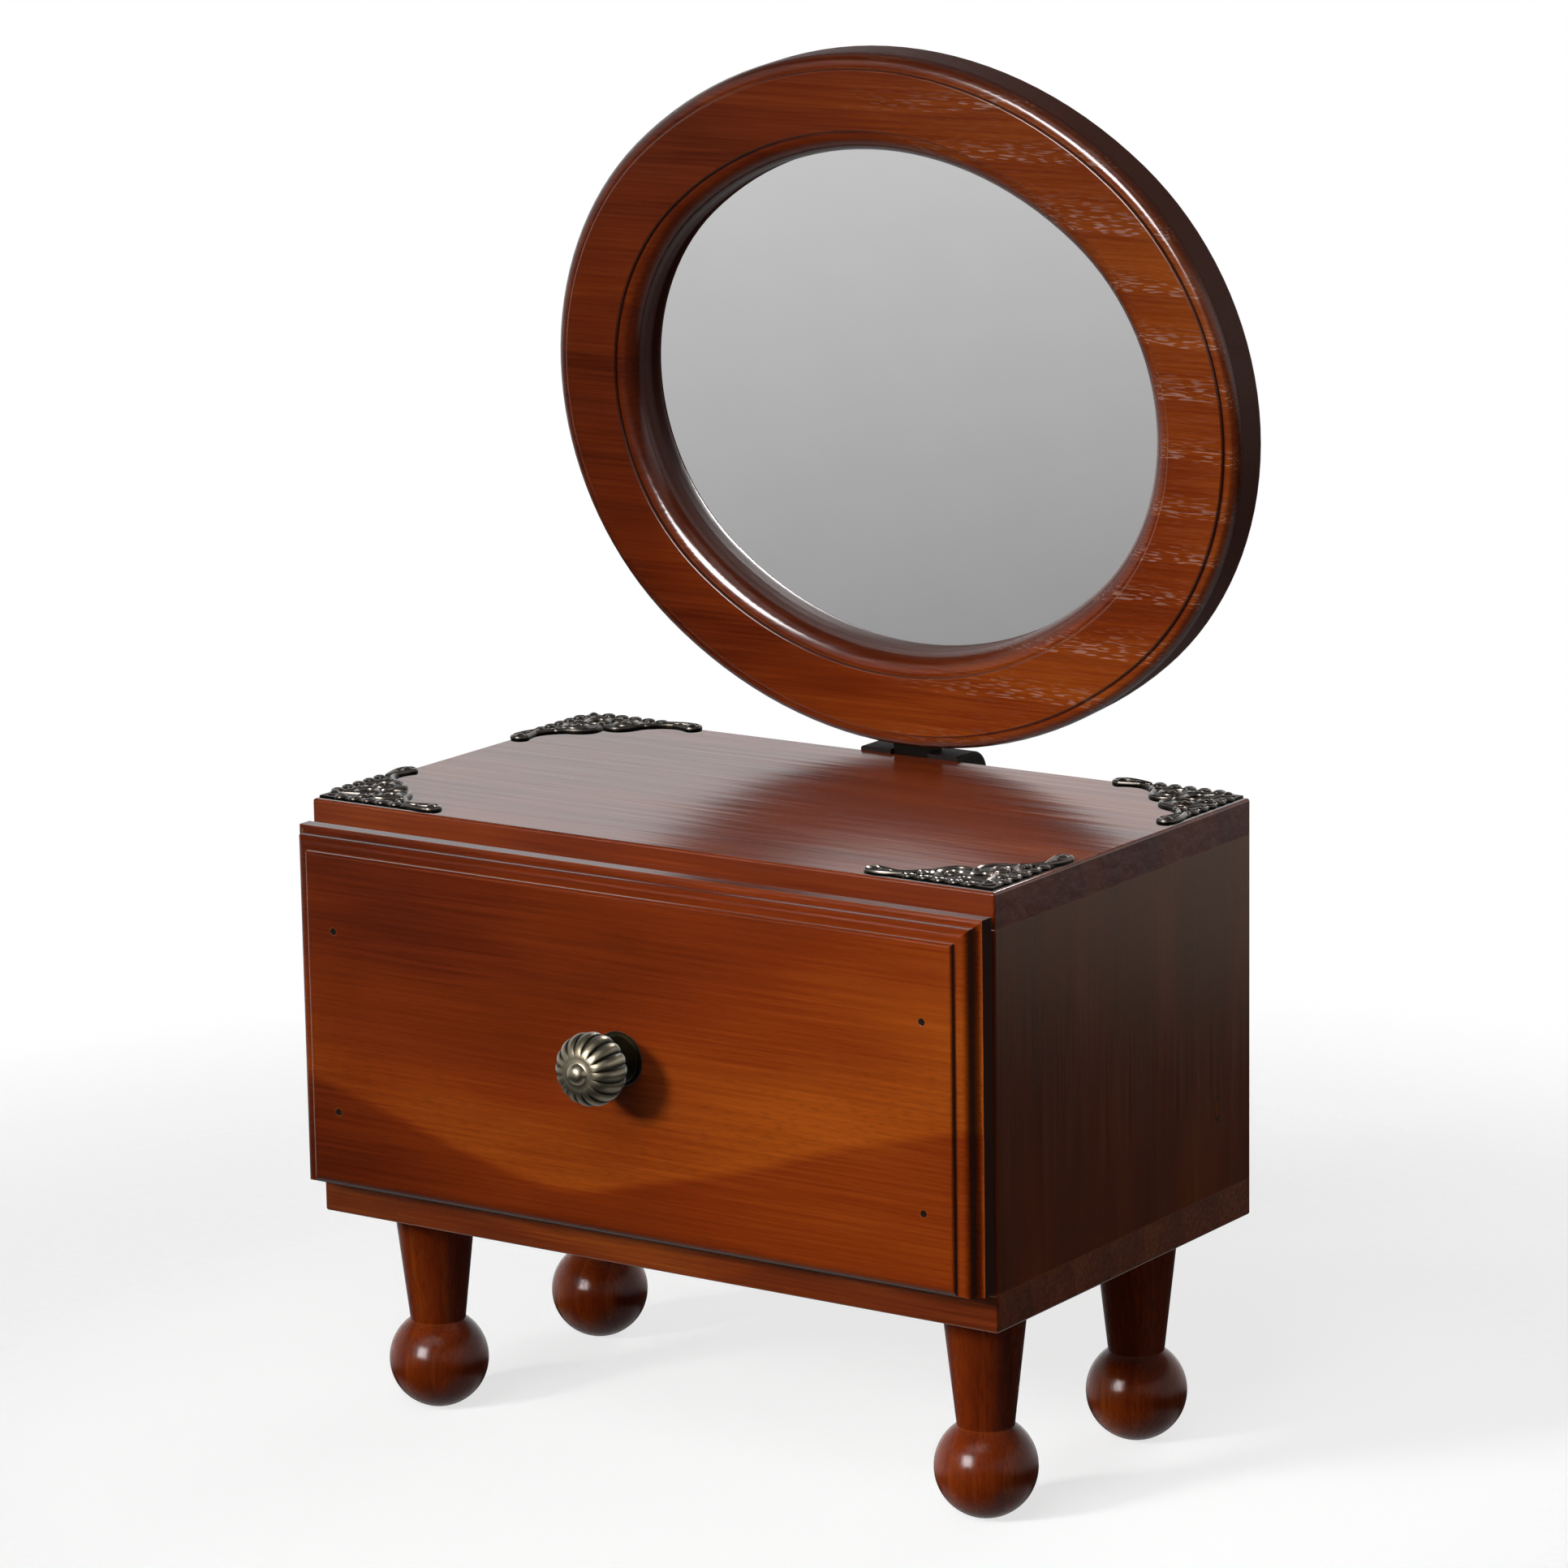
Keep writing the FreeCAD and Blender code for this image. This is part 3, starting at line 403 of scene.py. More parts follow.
    def material(self) -> Material:
        """Build the finish.

        Returns:
            Material for boards cut with this grain.
        """
        material, tree = start_material(self.name)
        axes = add_node(tree, "SeparateXYZ", {0: add_node(tree, "TexCoord").outputs["Object"]})
        order = {index: axes.outputs[letter] for index, letter in enumerate(self.grain.value)}
        turned = add_node(tree, "CombineXYZ", order).outputs[0]
        board = add_node(tree, "VectorMath", {0: turned, 1: (1 / MM,) * 3, 2: self.cut},
                         operation="MULTIPLY_ADD").outputs[0]
        along = add_node(tree, "SeparateXYZ", {0: board}).outputs[0]
        blotch = self.streaks(tree, board, BLOTCH, 2.0)
        fibre = self.streaks(tree, board, FIBRE, 3.0)
        ring = self.growth(tree, board, along)
        even = 0.5 + 0.4 * self.ring_share - 0.5 * (self.blotch_share + self.fibre_share)
        tone = weighted_sum(tree, even, [
            (blotch, self.blotch_share), (fibre, self.fibre_share), (ring, -self.ring_share),
            # Painted falloff of light: the tone lightens along the grain, so the left end is darker
            (along, self.painted_falloff_share / 100.0),
        ])
        stops = [(0.2, linear(self.dark)), (0.5, linear(self.middle)), (0.8, linear(self.light))]
        stained = add_node(tree, "ValToRGB", {0: tone}, stops).outputs[0]
        pores = self.open_pores(tree, board, along, ring)
        colour = overlaid(tree, stained, [(pores, self.pore), (self.rubbed(tree), self.light)])
        if self.filled_nail is not None:
            colour = self.with_filled_nail(tree, board, colour)
        dulled = [(fibre, FIBRE_DULLS), (pores, PORE_DULLS)]
        gleam: Socket | float = self.specular
        # Painted shade: the colour darkens on mouldings and walls that turn away from the face
        if self.face is not None:
            shade_from_face = self.painted_shade_off_face(tree)
            thick = weighted_sum(tree, 0.0, [(shade_from_face, WALL_PAINTED_SHADE)])
            colour = overlaid(tree, colour, [(thick, self.painted_shade_colour)])
            stops = [(0.85, grey(0.0)), (1.0, grey(1.0))]
            wall = add_node(tree, "ValToRGB", {0: shade_from_face}, stops).outputs[0]
            dulled.append((wall, WALL_DULLS))
            gleam = weighted_sum(tree, self.specular, [(wall, -WALL_GLOSS_LOST * self.specular)])
        dull = weighted_sum(tree, self.roughness - FIBRE_DULLS / 2, dulled)
        brushed = self.streaks(tree, board, RIPPLE, 1.0)
        height = weighted_sum(tree, 0.0, [
            (fibre, self.relief_mm * MM), (pores, -self.relief_mm * MM), (brushed, self.ripple_mm * MM),
        ])
        bump = add_node(tree, "Bump", {"Height": height, "Strength": 0.35, "Distance": 1.0}).outputs[0]
        shader = add_node(tree, "BsdfPrincipled", {
            "Base Color": colour, "Roughness": dull, "Normal": bump, "IOR": 1.5,
            "Specular IOR Level": gleam, "Specular Tint": linear(self.sheen),
        })
        add_node(tree, "OutputMaterial", {"Surface": shader.outputs[0]})
        return material


@dataclass(frozen=True)
class Metal:
    """Cast, stamped or turned metal: tarnish stays in its hollows and is rubbed bright on its high spots."""

    name: str
    bright: str
    tarnish: str
    roughness: float
    grit_mm: float = 0.5
    cloud_mm: float = 5.0
    cloud_share: float = 0.35
    grit_share: float = 0.12
    grit_depth_mm: float = 0.03
    tarnish_dulls: float = 0.3

    def material(self) -> Material:
        """Build the finish.

        Returns:
            Material that reads how deep each point lies from the mesh's recess values.
        """
        material, tree = start_material(self.name)
        place = add_node(tree, "TexCoord").outputs["Object"]
        # Grit is finer than a tenth of a millimetre, drawn coarser so that it shows
        patterns = ((self.cloud_mm, 3.0), (self.grit_mm, 2.0))
        clouds, grit = (
            add_node(tree, "TexNoise", {"Vector": place, "Scale": 1 / (mm * MM), "Detail": detail}).outputs[0]
            for mm, detail in patterns
        )
        recess = add_node(tree, "Attribute", attribute_name=RECESS).outputs["Fac"]
        tarnish = weighted_sum(tree, 0.0, [
            (clouds, self.cloud_share), (grit, self.grit_share), (recess, 1.0),
        ])
        stops = [(0.2, linear(self.bright)), (0.9, linear(self.tarnish))]
        colour = add_node(tree, "ValToRGB", {0: tarnish}, stops).outputs[0]
        dull = weighted_sum(tree, self.roughness, [(tarnish, self.tarnish_dulls)])
        bump = add_node(tree, "Bump", {
            "Height": grit, "Strength": 0.3, "Distance": self.grit_depth_mm * MM,
        }).outputs[0]
        shader = add_node(tree, "BsdfPrincipled", {
            "Base Color": colour, "Metallic": 1.0, "Roughness": dull, "Normal": bump,
        })
        add_node(tree, "OutputMaterial", {"Surface": shader.outputs[0]})
        return material


@dataclass(frozen=True)
class SilveredGlass:
    """Float glass silvered behind: a clean sharp mirror, dulled a little by a bloom of dust."""

    name: str
    silver: str
    bloom: str
    bloom_mm: float = 22.0

    def material(self) -> Material:
        """Build the finish.

        Returns:
            Mirror material.
        """
        material, tree = start_material(self.name)
        place = add_node(tree, "TexCoord").outputs["Object"]
        dust = add_node(tree, "TexNoise", {"Vector": place, "Scale": 1 / (self.bloom_mm * MM), "Detail": 4.0})
        stops = [(0.35, linear(self.silver)), (0.8, linear(self.bloom))]
        colour = add_node(tree, "ValToRGB", {0: dust.outputs[0]}, stops).outputs[0]
        shader = add_node(tree, "BsdfPrincipled", {"Base Color": colour, "Metallic": 1.0, "Roughness": 0.0})
        add_node(tree, "OutputMaterial", {"Surface": shader.outputs[0]})
        return material


@dataclass(frozen=True)
class Fibreboard:
    """Hardboard pressed from wood fibre: brown, matt, mottled by short fibres that lie every way."""

    name: str
    dark: str
    light: str
    fibre_mm: float = 1.4

    def material(self) -> Material:
        """Build the finish.

        Returns:
            Matt board material.
        """
        material, tree = start_material(self.name)
        place = add_node(tree, "TexCoord").outputs["Object"]
        # Fibres are a fifth of a millimetre wide, drawn coarser so that they show
        fibres = add_node(tree, "TexNoise", {
            "Vector": place, "Scale": 1 / (self.fibre_mm * MM), "Detail": 4.0, "Distortion": 1.5,
        }).outputs[0]
        stops = [(0.3, linear(self.dark)), (0.7, linear(self.light))]
        colour = add_node(tree, "ValToRGB", {0: fibres}, stops).outputs[0]
        bump = add_node(tree, "Bump", {"Height": fibres, "Strength": 0.4, "Distance": 0.1 * MM}).outputs[0]
        shader = add_node(tree, "BsdfPrincipled", {
            "Base Color": colour, "Roughness": 0.75, "Specular IOR Level": 0.3, "Normal": bump,
        })
        add_node(tree, "OutputMaterial", {"Surface": shader.outputs[0]})
        return material


# Mahogany stain under lacquer, on every board that shows: red-brown with darker bands and a soft gloss
STAIN = {"dark": "#471403", "middle": "#722a07", "light": "#96470f", "pore": "#2a0c03"}
# Sides rubbed to a full gloss: fine even grain under a warm sheen
FULL_GLOSS = {"ring_share": 0.06, "fibre_share": 0.08, "pore_share": 0.1, "roughness": 0.12, "specular": 1.0,
              "sheen": "#fff3d0"}
# Near black: the same wood stained nearly black with a faint dull sheen, deepened as painted shade under the
# mirror
NEAR_BLACK_AND_SHADE = {"dark": "#0d0503", "middle": "#160905", "light": "#200d07", "pore": "#080302"}
# Planed beech, left bare inside the drawer: pale and matt, with short darker flecks
BARE = {"dark": "#8a5f38", "middle": "#a87a4b", "light": "#c39a68", "pore": "#6b4526", "specular": 0.25,
        "roughness": 0.6, "rub": 0.2}


def shade_by_angle(mesh: Mesh, degrees: float = 38.0) -> Mesh:
    """Shade a mesh smooth, apart from edges sharper than an angle.

    Args:
        mesh: Mesh to shade.
        degrees: Angle from which an edge is sharp.

    Returns:
        The same mesh.
    """
    mesh.shade_smooth()
    mesh.set_sharp_from_angle(angle=math.radians(degrees))
    return mesh


def solid_mesh(name: str, shape: Shape, recess: Sequence[float] = ()) -> Mesh:
    """Mesh from points in millimetres.

    Args:
        name: Name of the mesh.
        shape: Points in millimetres, and the point numbers of each face.
        recess: How deep each point lies, from 0, rubbed, to 1, in a hollow.

    Returns:
        Smooth shaded mesh in metres.
    """
    points, faces = shape
    mesh = bpy.data.meshes.new(name)
    mesh.from_pydata([Vector(point) * MM for point in points], [], faces)
    mesh.update()
    if recess:
        mesh.attributes.new(RECESS, "FLOAT", "POINT").data.foreach_set("value", recess)
    return shade_by_angle(mesh)


def baked_mesh(obj: bpy.types.Object) -> Mesh:
    """Take the finished mesh of a curve or modified object, and remove that object.

    Args:
        obj: Object that is in no collection yet.

    Returns:
        Its mesh with all modifiers applied.
    """
    bpy.context.scene.collection.objects.link(obj)
    bpy.context.view_layer.update()
    finished = obj.evaluated_get(bpy.context.evaluated_depsgraph_get())
    mesh = bpy.data.meshes.new_from_object(finished)
    bpy.data.objects.remove(obj)
    return mesh


def joined(name: str, parts: Iterable[tuple[Mesh, Matrix]]) -> Mesh:
    """Join placed meshes into one, with faces turned outwards where a place mirrors them.

    Args:
        name: Name of the new mesh.
        parts: Meshes and where each one goes.

    Returns:
        One mesh with the recess values of all.
    """
    points: list[Place] = []
    faces: list[list[int]] = []
    recess: list[float] = []
    for mesh, place in parts:
        start = len(points)
        order = -1 if place.determinant() < 0 else 1
        points.extend(tuple((place @ vertex.co) / MM) for vertex in mesh.vertices)
        faces.extend([start + corner for corner in polygon.vertices][::order] for polygon in mesh.polygons)
        values = mesh.attributes.get(RECESS)
        recess.extend([item.value for item in values.data] if values else [0.0] * len(mesh.vertices))
    return solid_mesh(name, (points, faces), recess)


def frange(first: float, last: float, count: int) -> list[float]:
    """Evenly spaced values from first to last."""
    return [first + (last - first) * step / (count - 1) for step in range(count)]


def arc(centre: Point, radius: float, first: float, last: float, count: int) -> list[Point]:
    """Points along an arc.

    Args:
        centre: Middle of the arc.
        radius: Its radius.
        first: Angle of the first point in degrees.
        last: Angle of the last point in degrees.
        count: Number of points.

    Returns:
        The points in order.
    """
    angles = [math.radians(angle) for angle in frange(first, last, count)]
    return [(centre[0] + radius * math.cos(angle), centre[1] + radius * math.sin(angle)) for angle in angles]


def bowed(start: Point, middle: Point, end: Point, count: int = 9) -> list[Point]:
    """Points along the parabola through three points.

    Args:
        start: First point.
        middle: Point halfway.
        end: Last point.
        count: Number of points.

    Returns:
        The points in order.
    """
    pull = [2 * m - (s + e) / 2 for s, m, e in zip(start, middle, end)]
    path = []
    for share in frange(0.0, 1.0, count):
        rest = 1 - share
        weights = (rest * rest, 2 * share * rest, share * share)
        x, y = (sum(w * c for w, c in zip(weights, corners)) for corners in zip(start, pull, end))
        path.append((x, y))
    return path


def moved_left(path: Sequence[Point], inset: float) -> list[Point]:
    """Move an open path to its left.

    Args:
        path: Points of the path.
        inset: How far it moves.

    Returns:
        Points of the moved path.
    """
    moved = []
    for index, (x, y) in enumerate(path):
        before = path[max(index - 1, 0)]
        after = path[min(index + 1, len(path) - 1)]
        step = Vector((after[0] - before[0], after[1] - before[1])).normalized()
        moved.append((x - step.y * inset, y + step.x * inset))
    return moved


def teardrop(centre: Point, radius: float, tail: float, heading: float, count: int = 20) -> list[Point]:
    """Teardrop opening: round at one end, drawn out to a point at the other.

    Args:
        centre: Middle of the round end.
        radius: Radius of the round end.
        tail: Reach of the pointed end from the middle.
        heading: Direction of the point in degrees.
        count: Number of points.

    Returns:
        Points round the opening.
    """
    points = []
    for angle in frange(0.0, 2 * math.pi * (count - 1) / count, count):
        reach = radius + (tail - radius) * max(0.0, math.cos(angle)) ** 3
        turn = angle + math.radians(heading)
        points.append((centre[0] + reach * math.cos(turn), centre[1] + reach * math.sin(turn)))
    return points


def spiral(centre: Point, outer: float, inner: float, first: float, sweep: float, thick: float,
           thin: float) -> list[Place]:
    """Curl that winds in to its eye.

    Args:
        centre: Eye of the curl.
        outer: Radius at its start.
        inner: Radius at its end.
        first: Angle of the start in degrees.
        sweep: Turn to its end in degrees.
        thick: Share of the wire's thickness at the start.
        thin: Share at the end.

    Returns:
        Points with their share of thickness.
    """
    path = []
    for share in frange(0.0, 1.0, 30):
        angle = math.radians(first + sweep * share)
        radius = outer + (inner - outer) * share ** 0.8
        path.append((centre[0] + radius * math.cos(angle), centre[1] + radius * math.sin(angle),
                     thick + (thin - thick) * share))
    return path


def add_path(curve: bpy.types.Curve, path: Sequence[Place], closed: bool) -> None:
    """Add a path to a curve.

    Args:
        curve: Curve that gets it.
        path: x, y and the share of full thickness of each point, in millimetres.
        closed: Whether the path goes back to its start.
    """
    spline = curve.splines.new("POLY")
    spline.points.add(len(path) - 1)
    spline.use_cyclic_u = closed
    for point, (x, y, share) in zip(spline.points, path):
        point.co = (x * MM, y * MM, 0.0, 1.0)
        point.radius = share


def turned_shape(profile: Sequence[Point], steps: int,
                 reach: Callable[[int, float], float] = lambda index, turn: 1.0) -> Shape:
    """Turn a profile about the z axis.

    Args:
        profile: Radius and height of each corner, upwards on the outside; the first and last are on the axis.
        steps: Points round the axis.
        reach: Share of the radius at a profile corner and a turn from 0 to 1.

    Returns:
        Points and faces of a closed shape.
    """
    points: list[Place] = [(0.0, 0.0, profile[0][1])]
    for index, (radius, height) in enumerate(profile[1:-1], start=1):
        for step in range(steps):
            turn = step / steps
            length = radius * reach(index, turn)
            angle = 2 * math.pi * turn
            points.append((length * math.cos(angle), length * math.sin(angle), height))
    points.append((0.0, 0.0, profile[-1][1]))
    last = len(points) - 1
    faces = []
    for step in range(steps):
        beside = (step + 1) % steps
        faces.append([0, 1 + beside, 1 + step])
        for low in range(1, last - steps, steps):
            faces.append([low + step, low + beside, low + steps + beside, low + steps + step])
        faces.append([last, last - steps + step, last - steps + beside])
    return points, faces


def welded(node: str) -> bmesh.types.BMesh:
    """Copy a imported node's mesh with its shared corners joined.

    Args:
        node: Name of the node.

    Returns:
        The copy, which the caller frees.
    """
    shape = bmesh.new()
    shape.from_mesh(frame["nodes"][node].data)
    bmesh.ops.remove_doubles(shape, verts=shape.verts, dist=0.001 * MM)
    return shape


def solids_of(node: str) -> list[list[Vector]]:
    """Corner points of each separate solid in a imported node.

    Args:
        node: Name of the node.

    Returns:
        The points of each solid in metres, solids sorted by place.
    """
    shape = welded(node)
    left = set(shape.verts)
    solids = []
    while left:
        reached = [left.pop()]
        for vertex in reached:
            beside = {edge.other_vert(vertex) for edge in vertex.link_edges} & left
            left -= beside
            reached.extend(beside)
        solids.append(sorted((vertex.co.copy() for vertex in reached), key=tuple))
    shape.free()
    return sorted(solids, key=lambda points: tuple(points[0]))


def add_piece(name: str, mesh: Mesh, body: Body, node: str, finish: Material) -> None:
    """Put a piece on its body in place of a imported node.

    Args:
        name: Name of the piece.
        mesh: Its mesh, in place.
        body: Body that it moves with.
        node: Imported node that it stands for.
        finish: Its material.
    """
    mesh.materials.clear()
    mesh.materials.append(finish)
    piece = bpy.data.objects.new(name, mesh)
    bpy.context.scene.collection.objects.link(piece)
    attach(piece, body.value)
    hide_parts(node)
    LOG.info("%s: %d faces in place of %s", name, len(mesh.polygons), node)


def dress(finish: Material, *nodes: str) -> None:
    """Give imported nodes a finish.

    Args:
        finish: The material.
        nodes: Names of the nodes.
    """
    for node in nodes:
        frame["nodes"][node].material_slots[0].material = finish
        LOG.info("%s: %s", node, finish.name)


@dataclass(frozen=True)
class Screws:
    """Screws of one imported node, with a driver recess cut into each head."""

    node: str
    body: Body
    slot: Slot
    shank: Place
    drive: Drive
    width: float
    reach: float
    depth: float
    draft: float = 0.8

    def recess_shape(self) -> Shape:
        """Driver recess about the z axis, from above the head's crown down, drawn in towards its floor.

        Returns:
            Points and faces of the recess.
        """
        wide = self.width / 2
        outline = [(self.reach, -wide), (self.reach, wide), (-self.reach, wide), (-self.reach, -wide)]
        if self.drive is Drive.CROSS:
            quarter = [(self.reach, -wide), (self.reach, wide), (wide, wide)]
            turns = [(1, 0), (0, 1), (-1, 0), (0, -1)]
            outline = [(x * c - y * s, x * s + y * c) for c, s in turns for x, y in quarter]
        count = len(outline)
        floor = [(x * self.draft, y * self.draft, -self.depth) for x, y in outline]
        above = [(x, y, self.depth) for x, y in outline]
        walls = [[i, (i + 1) % count, count + (i + 1) % count, count + i] for i in range(count)]
        return floor + above, walls + [list(range(count))[::-1], list(range(count, 2 * count))]

    def build(self, finish: Material) -> None:
        """Cut the recesses and put the screws in place of their node.

        Args:
            finish: Plated steel or brass.
        """
        upright = (-Vector(self.shank)).to_track_quat("Z", "Y").to_matrix().to_4x4()
        driver = solid_mesh("driver", self.recess_shape())
        parts = []
        for points in solids_of(self.node):
            local = [upright.inverted() @ point for point in points]
            middle = [(min(axis) + max(axis)) / 2 for axis in zip(*local)]
            crown = max(point.z for point in local)
            parts.append((driver, upright @ Matrix.Translation((middle[0], middle[1], crown))))
        cutter = bpy.data.objects.new("drivers", joined("drivers", parts))
        bpy.context.scene.collection.objects.link(cutter)
        plain = bpy.data.meshes.new(self.node)
        shape = welded(self.node)
        shape.to_mesh(plain)
        shape.free()
        blank = bpy.data.objects.new("blank", plain)
        cut = blank.modifiers.new("driver", "BOOLEAN")
        cut.object = cutter
        mesh = joined("driven_" + self.node, [(baked_mesh(blank), Matrix())])
        bpy.data.objects.remove(cutter)
        add_piece("driven_" + self.node, mesh, self.body, self.node, finish)


@dataclass
class Carcass:
    """Box of five boards on four turned legs."""

    top: Wood = Wood("lacquered_hardwood_top", Grain.LYING, **STAIN, cut=(40.0, 0.0, 0.0), fibre_share=0.35,
                     pore_share=0.0, roughness=0.185, specular=0.5, ripple_mm=0.2)
    base: Wood = Wood("lacquered_hardwood_base", Grain.LYING, **STAIN, cut=(-310.0, 15.0, 5.0),
                      pore_share=0.1, roughness=0.2, specular=0.8, sheen="#fff3d0")
    left: Wood = Wood("lacquered_hardwood_left_side", Grain.UPRIGHT_SIDE, **STAIN, **FULL_GLOSS,
                      cut=(120.0, 30.0, 0.0))
    right: Wood = Wood("lacquered_hardwood_right_side", Grain.UPRIGHT_SIDE, **STAIN, **FULL_GLOSS,
                       filled_nail=(84.7, 50.2))
    back: Wood = Wood("lacquered_hardwood_back", Grain.STANDING, **STAIN, cut=(60.0, 80.0, 0.0),
                      roughness=0.4)
    legs: Wood = Wood("lacquered_hardwood_legs", Grain.UPRIGHT_TURNED, **STAIN, cut=(15.0, 0.0, 0.0),
                      ring_mm=8.0, fibre_share=0.3, roughness=0.18, specular=0.2)
    dowels: Wood = Wood("beech_dowels", Grain.UPRIGHT_TURNED, **BARE, ring_mm=3.0)

    def dress(self) -> None:
        """Give the boards, legs and dowels their finishes."""
        boards = {
            "top_panel": self.top, "bottom_panel": self.base, "left_side_panel": self.left,
            "right_side_panel": self.right, "back_panel": self.back,
        }
        for node, wood in boards.items():
            dress(wood.material(), node)
        dress(self.legs.material(), "leg_front_left", "leg_front_right", "leg_rear_left", "leg_rear_right")
        dress(self.dowels.material(), "panel_dowels", "leg_dowels")


@dataclass
class FiligreeCorners:
    """Stamped openwork corners: a pierced plate under curled wires, with leaves at the tips and beads."""

    leg: float = 37.0
    tip: float = 2.6
    plate: float = 0.8
    plate_edge: float = 0.12
    set_back: float = 0.9
    wire: float = 0.72
    waist: Point = (0.76, 0.11)
    shoulder: Point = (0.61, 0.23)
    lobe: Point = (0.53, 0.38)
    cusp: float = 0.39
    curls: tuple[float, ...] = (7.4, 11.65, 15.9, 20.15, 24.4)
    curl_line: float = 1.75
    curl_radius: float = 1.55
    boss_radius: float = 1.9
    boss_height: float = 1.2
    pin_inset: float = 3.6
    medallion: Point = (9.25, 9.25)
    scroll: Point = (16.7, 8.1)
    small_scroll: Point = (22.6, 5.6)
    inner_scroll: Point = (11.6, 4.9)
    board_inset: float = 0.4
    ground: float = 0.75

    def scaled(self, share: Point) -> Point:
        """Point given in shares of the leg."""
        return share[0] * self.leg, share[1] * self.leg

    def inner_edge(self) -> list[Point]:
        """Scalloped inner edge of one half.

        Returns:
            Points from the tip's end to the cusp on the diagonal.
        """
        far = self.leg - self.tip
        first = math.degrees(math.asin((self.set_back - self.tip) / self.tip))
        tip_end = arc((far, self.tip), self.tip, first, 90.0, 9)
        waist = bowed((far, 2 * self.tip), self.scaled(self.waist), self.scaled(self.shoulder))
        lobe = bowed(self.scaled(self.shoulder), self.scaled(self.lobe), self.scaled((self.cusp, self.cusp)))
        return tip_end + waist[1:] + lobe[1:]

    def piercings(self) -> list[list[Point]]:
        """Teardrop openings of one half of the plate.

        Returns:
            Points round each opening.
        """
        return [
            teardrop(self.scroll, 2.3, 3.2, 20.0),
            teardrop((12.2, 4.6), 1.3, 2.2, 170.0),
            teardrop((22.2, 4.4), 1.2, 2.6, 5.0),
        ]

    def wires(self) -> list[list[Place]]:
        """Curled wires of one half.

        Returns:
            x, y and the share of full thickness along each wire.
        """
        far = self.leg - self.tip
        rim = [(x, y, 0.85) for x, y in moved_left(self.inner_edge()[9:], self.wire)]
        leaf_low = [(x, y, 1.0) for x, y in bowed((26.6, 2.2), (31.0, 0.75), (far, 0.65))]
        leaf_high = [(x, y, 1.0) for x, y in bowed((26.6, 2.4), (30.5, 3.5), (far, 4.5))]
        stem = [(x, y, 1.0) for x, y in bowed((4.9, 5.1), (9.0, 6.0), (12.8, 7.6))]
        eyes = [(x, self.curl_line) for x in self.curls]
        curls = [spiral(eye, self.curl_radius, 0.4, 165.0, 430.0, 0.8, 0.7) for eye in eyes]
        return curls + [
            rim, leaf_low, leaf_high, stem,
            spiral((far, self.tip), 2.0, 2.0, -90.0, 180.0, 0.95, 0.95),
            spiral(self.scroll, 3.9, 1.0, -100.0, 470.0, 1.1, 0.8),
            spiral(self.small_scroll, 2.2, 0.6, 200.0, -420.0, 0.9, 0.7),
            spiral(self.inner_scroll, 2.1, 0.6, 10.0, 420.0, 0.9, 0.7),
        ]

    def middle_wires(self) -> list[list[Place]]:
        """Wires on the diagonal: the medallion's ring, and the leaf that runs from it to the cusp.

        Returns:
            x, y and the share of full thickness along each wire.
        """
        ring = spiral(self.medallion, 2.6, 2.6, 0.0, 360.0, 1.0, 1.0)
        places = zip(frange(11.4, 13.9, 14), frange(0.0, math.pi, 14))
        return [ring, [(along, along, 0.5 + 1.1 * math.sin(angle)) for along, angle in places]]

    def beads(self) -> list[Place]:
        """Beads at the eyes of the curls.

        Returns:
            x, y and radius of each bead.
        """
        half = [(x, self.curl_line, 0.75) for x in self.curls]
        half += [(*self.scroll, 1.1), (*self.small_scroll, 0.8), (*self.inner_scroll, 0.8), (30.2, 2.1, 0.9)]
        return half + [(y, x, radius) for x, y, radius in half]

    def bosses(self) -> list[Point]:
        """Round seats of the three pins."""
        far = self.leg - self.tip
        return [(self.pin_inset, self.pin_inset), (far, self.tip), (self.tip, far)]

    def plate_mesh(self) -> Mesh:
        """Pierced plate, its edges rounded.

        Returns:
            Mesh with its middle on z = 0.
        """
        half = self.inner_edge()
        outline = [(self.set_back, self.set_back)] + half + [(y, x) for x, y in half[-2::-1]]
        holes = self.piercings()
        loops = [outline, arc(self.medallion, 2.2, 0.0, 345.0, 24)]
        loops += holes + [[(y, x) for x, y in hole] for hole in holes]
        curve = bpy.data.curves.new("filigree_plate", "CURVE")
        curve.dimensions = "2D"
        curve.fill_mode = "BOTH"
        curve.extrude = (self.plate / 2 - self.plate_edge) * MM
        curve.bevel_depth = self.plate_edge * MM
        curve.offset = -self.plate_edge * MM
        curve.bevel_resolution = 1
        for loop in loops:
            add_path(curve, [(x, y, 1.0) for x, y in loop], closed=True)
        return baked_mesh(bpy.data.objects.new("filigree_plate", curve))

    def wire_mesh(self) -> Mesh:
        """All the curled wires, as round tubes.

        Returns:
            Mesh with its middle on z = 0.
        """
        curve = bpy.data.curves.new("filigree_wires", "CURVE")
        curve.dimensions = "3D"
        curve.bevel_depth = self.wire * MM
        curve.bevel_resolution = 2
        curve.use_fill_caps = True
        half = self.wires()
        for path in half + [[(y, x, share) for x, y, share in wire] for wire in half] + self.middle_wires():
            add_path(curve, path, closed=False)
        return baked_mesh(bpy.data.objects.new("filigree_wires", curve))

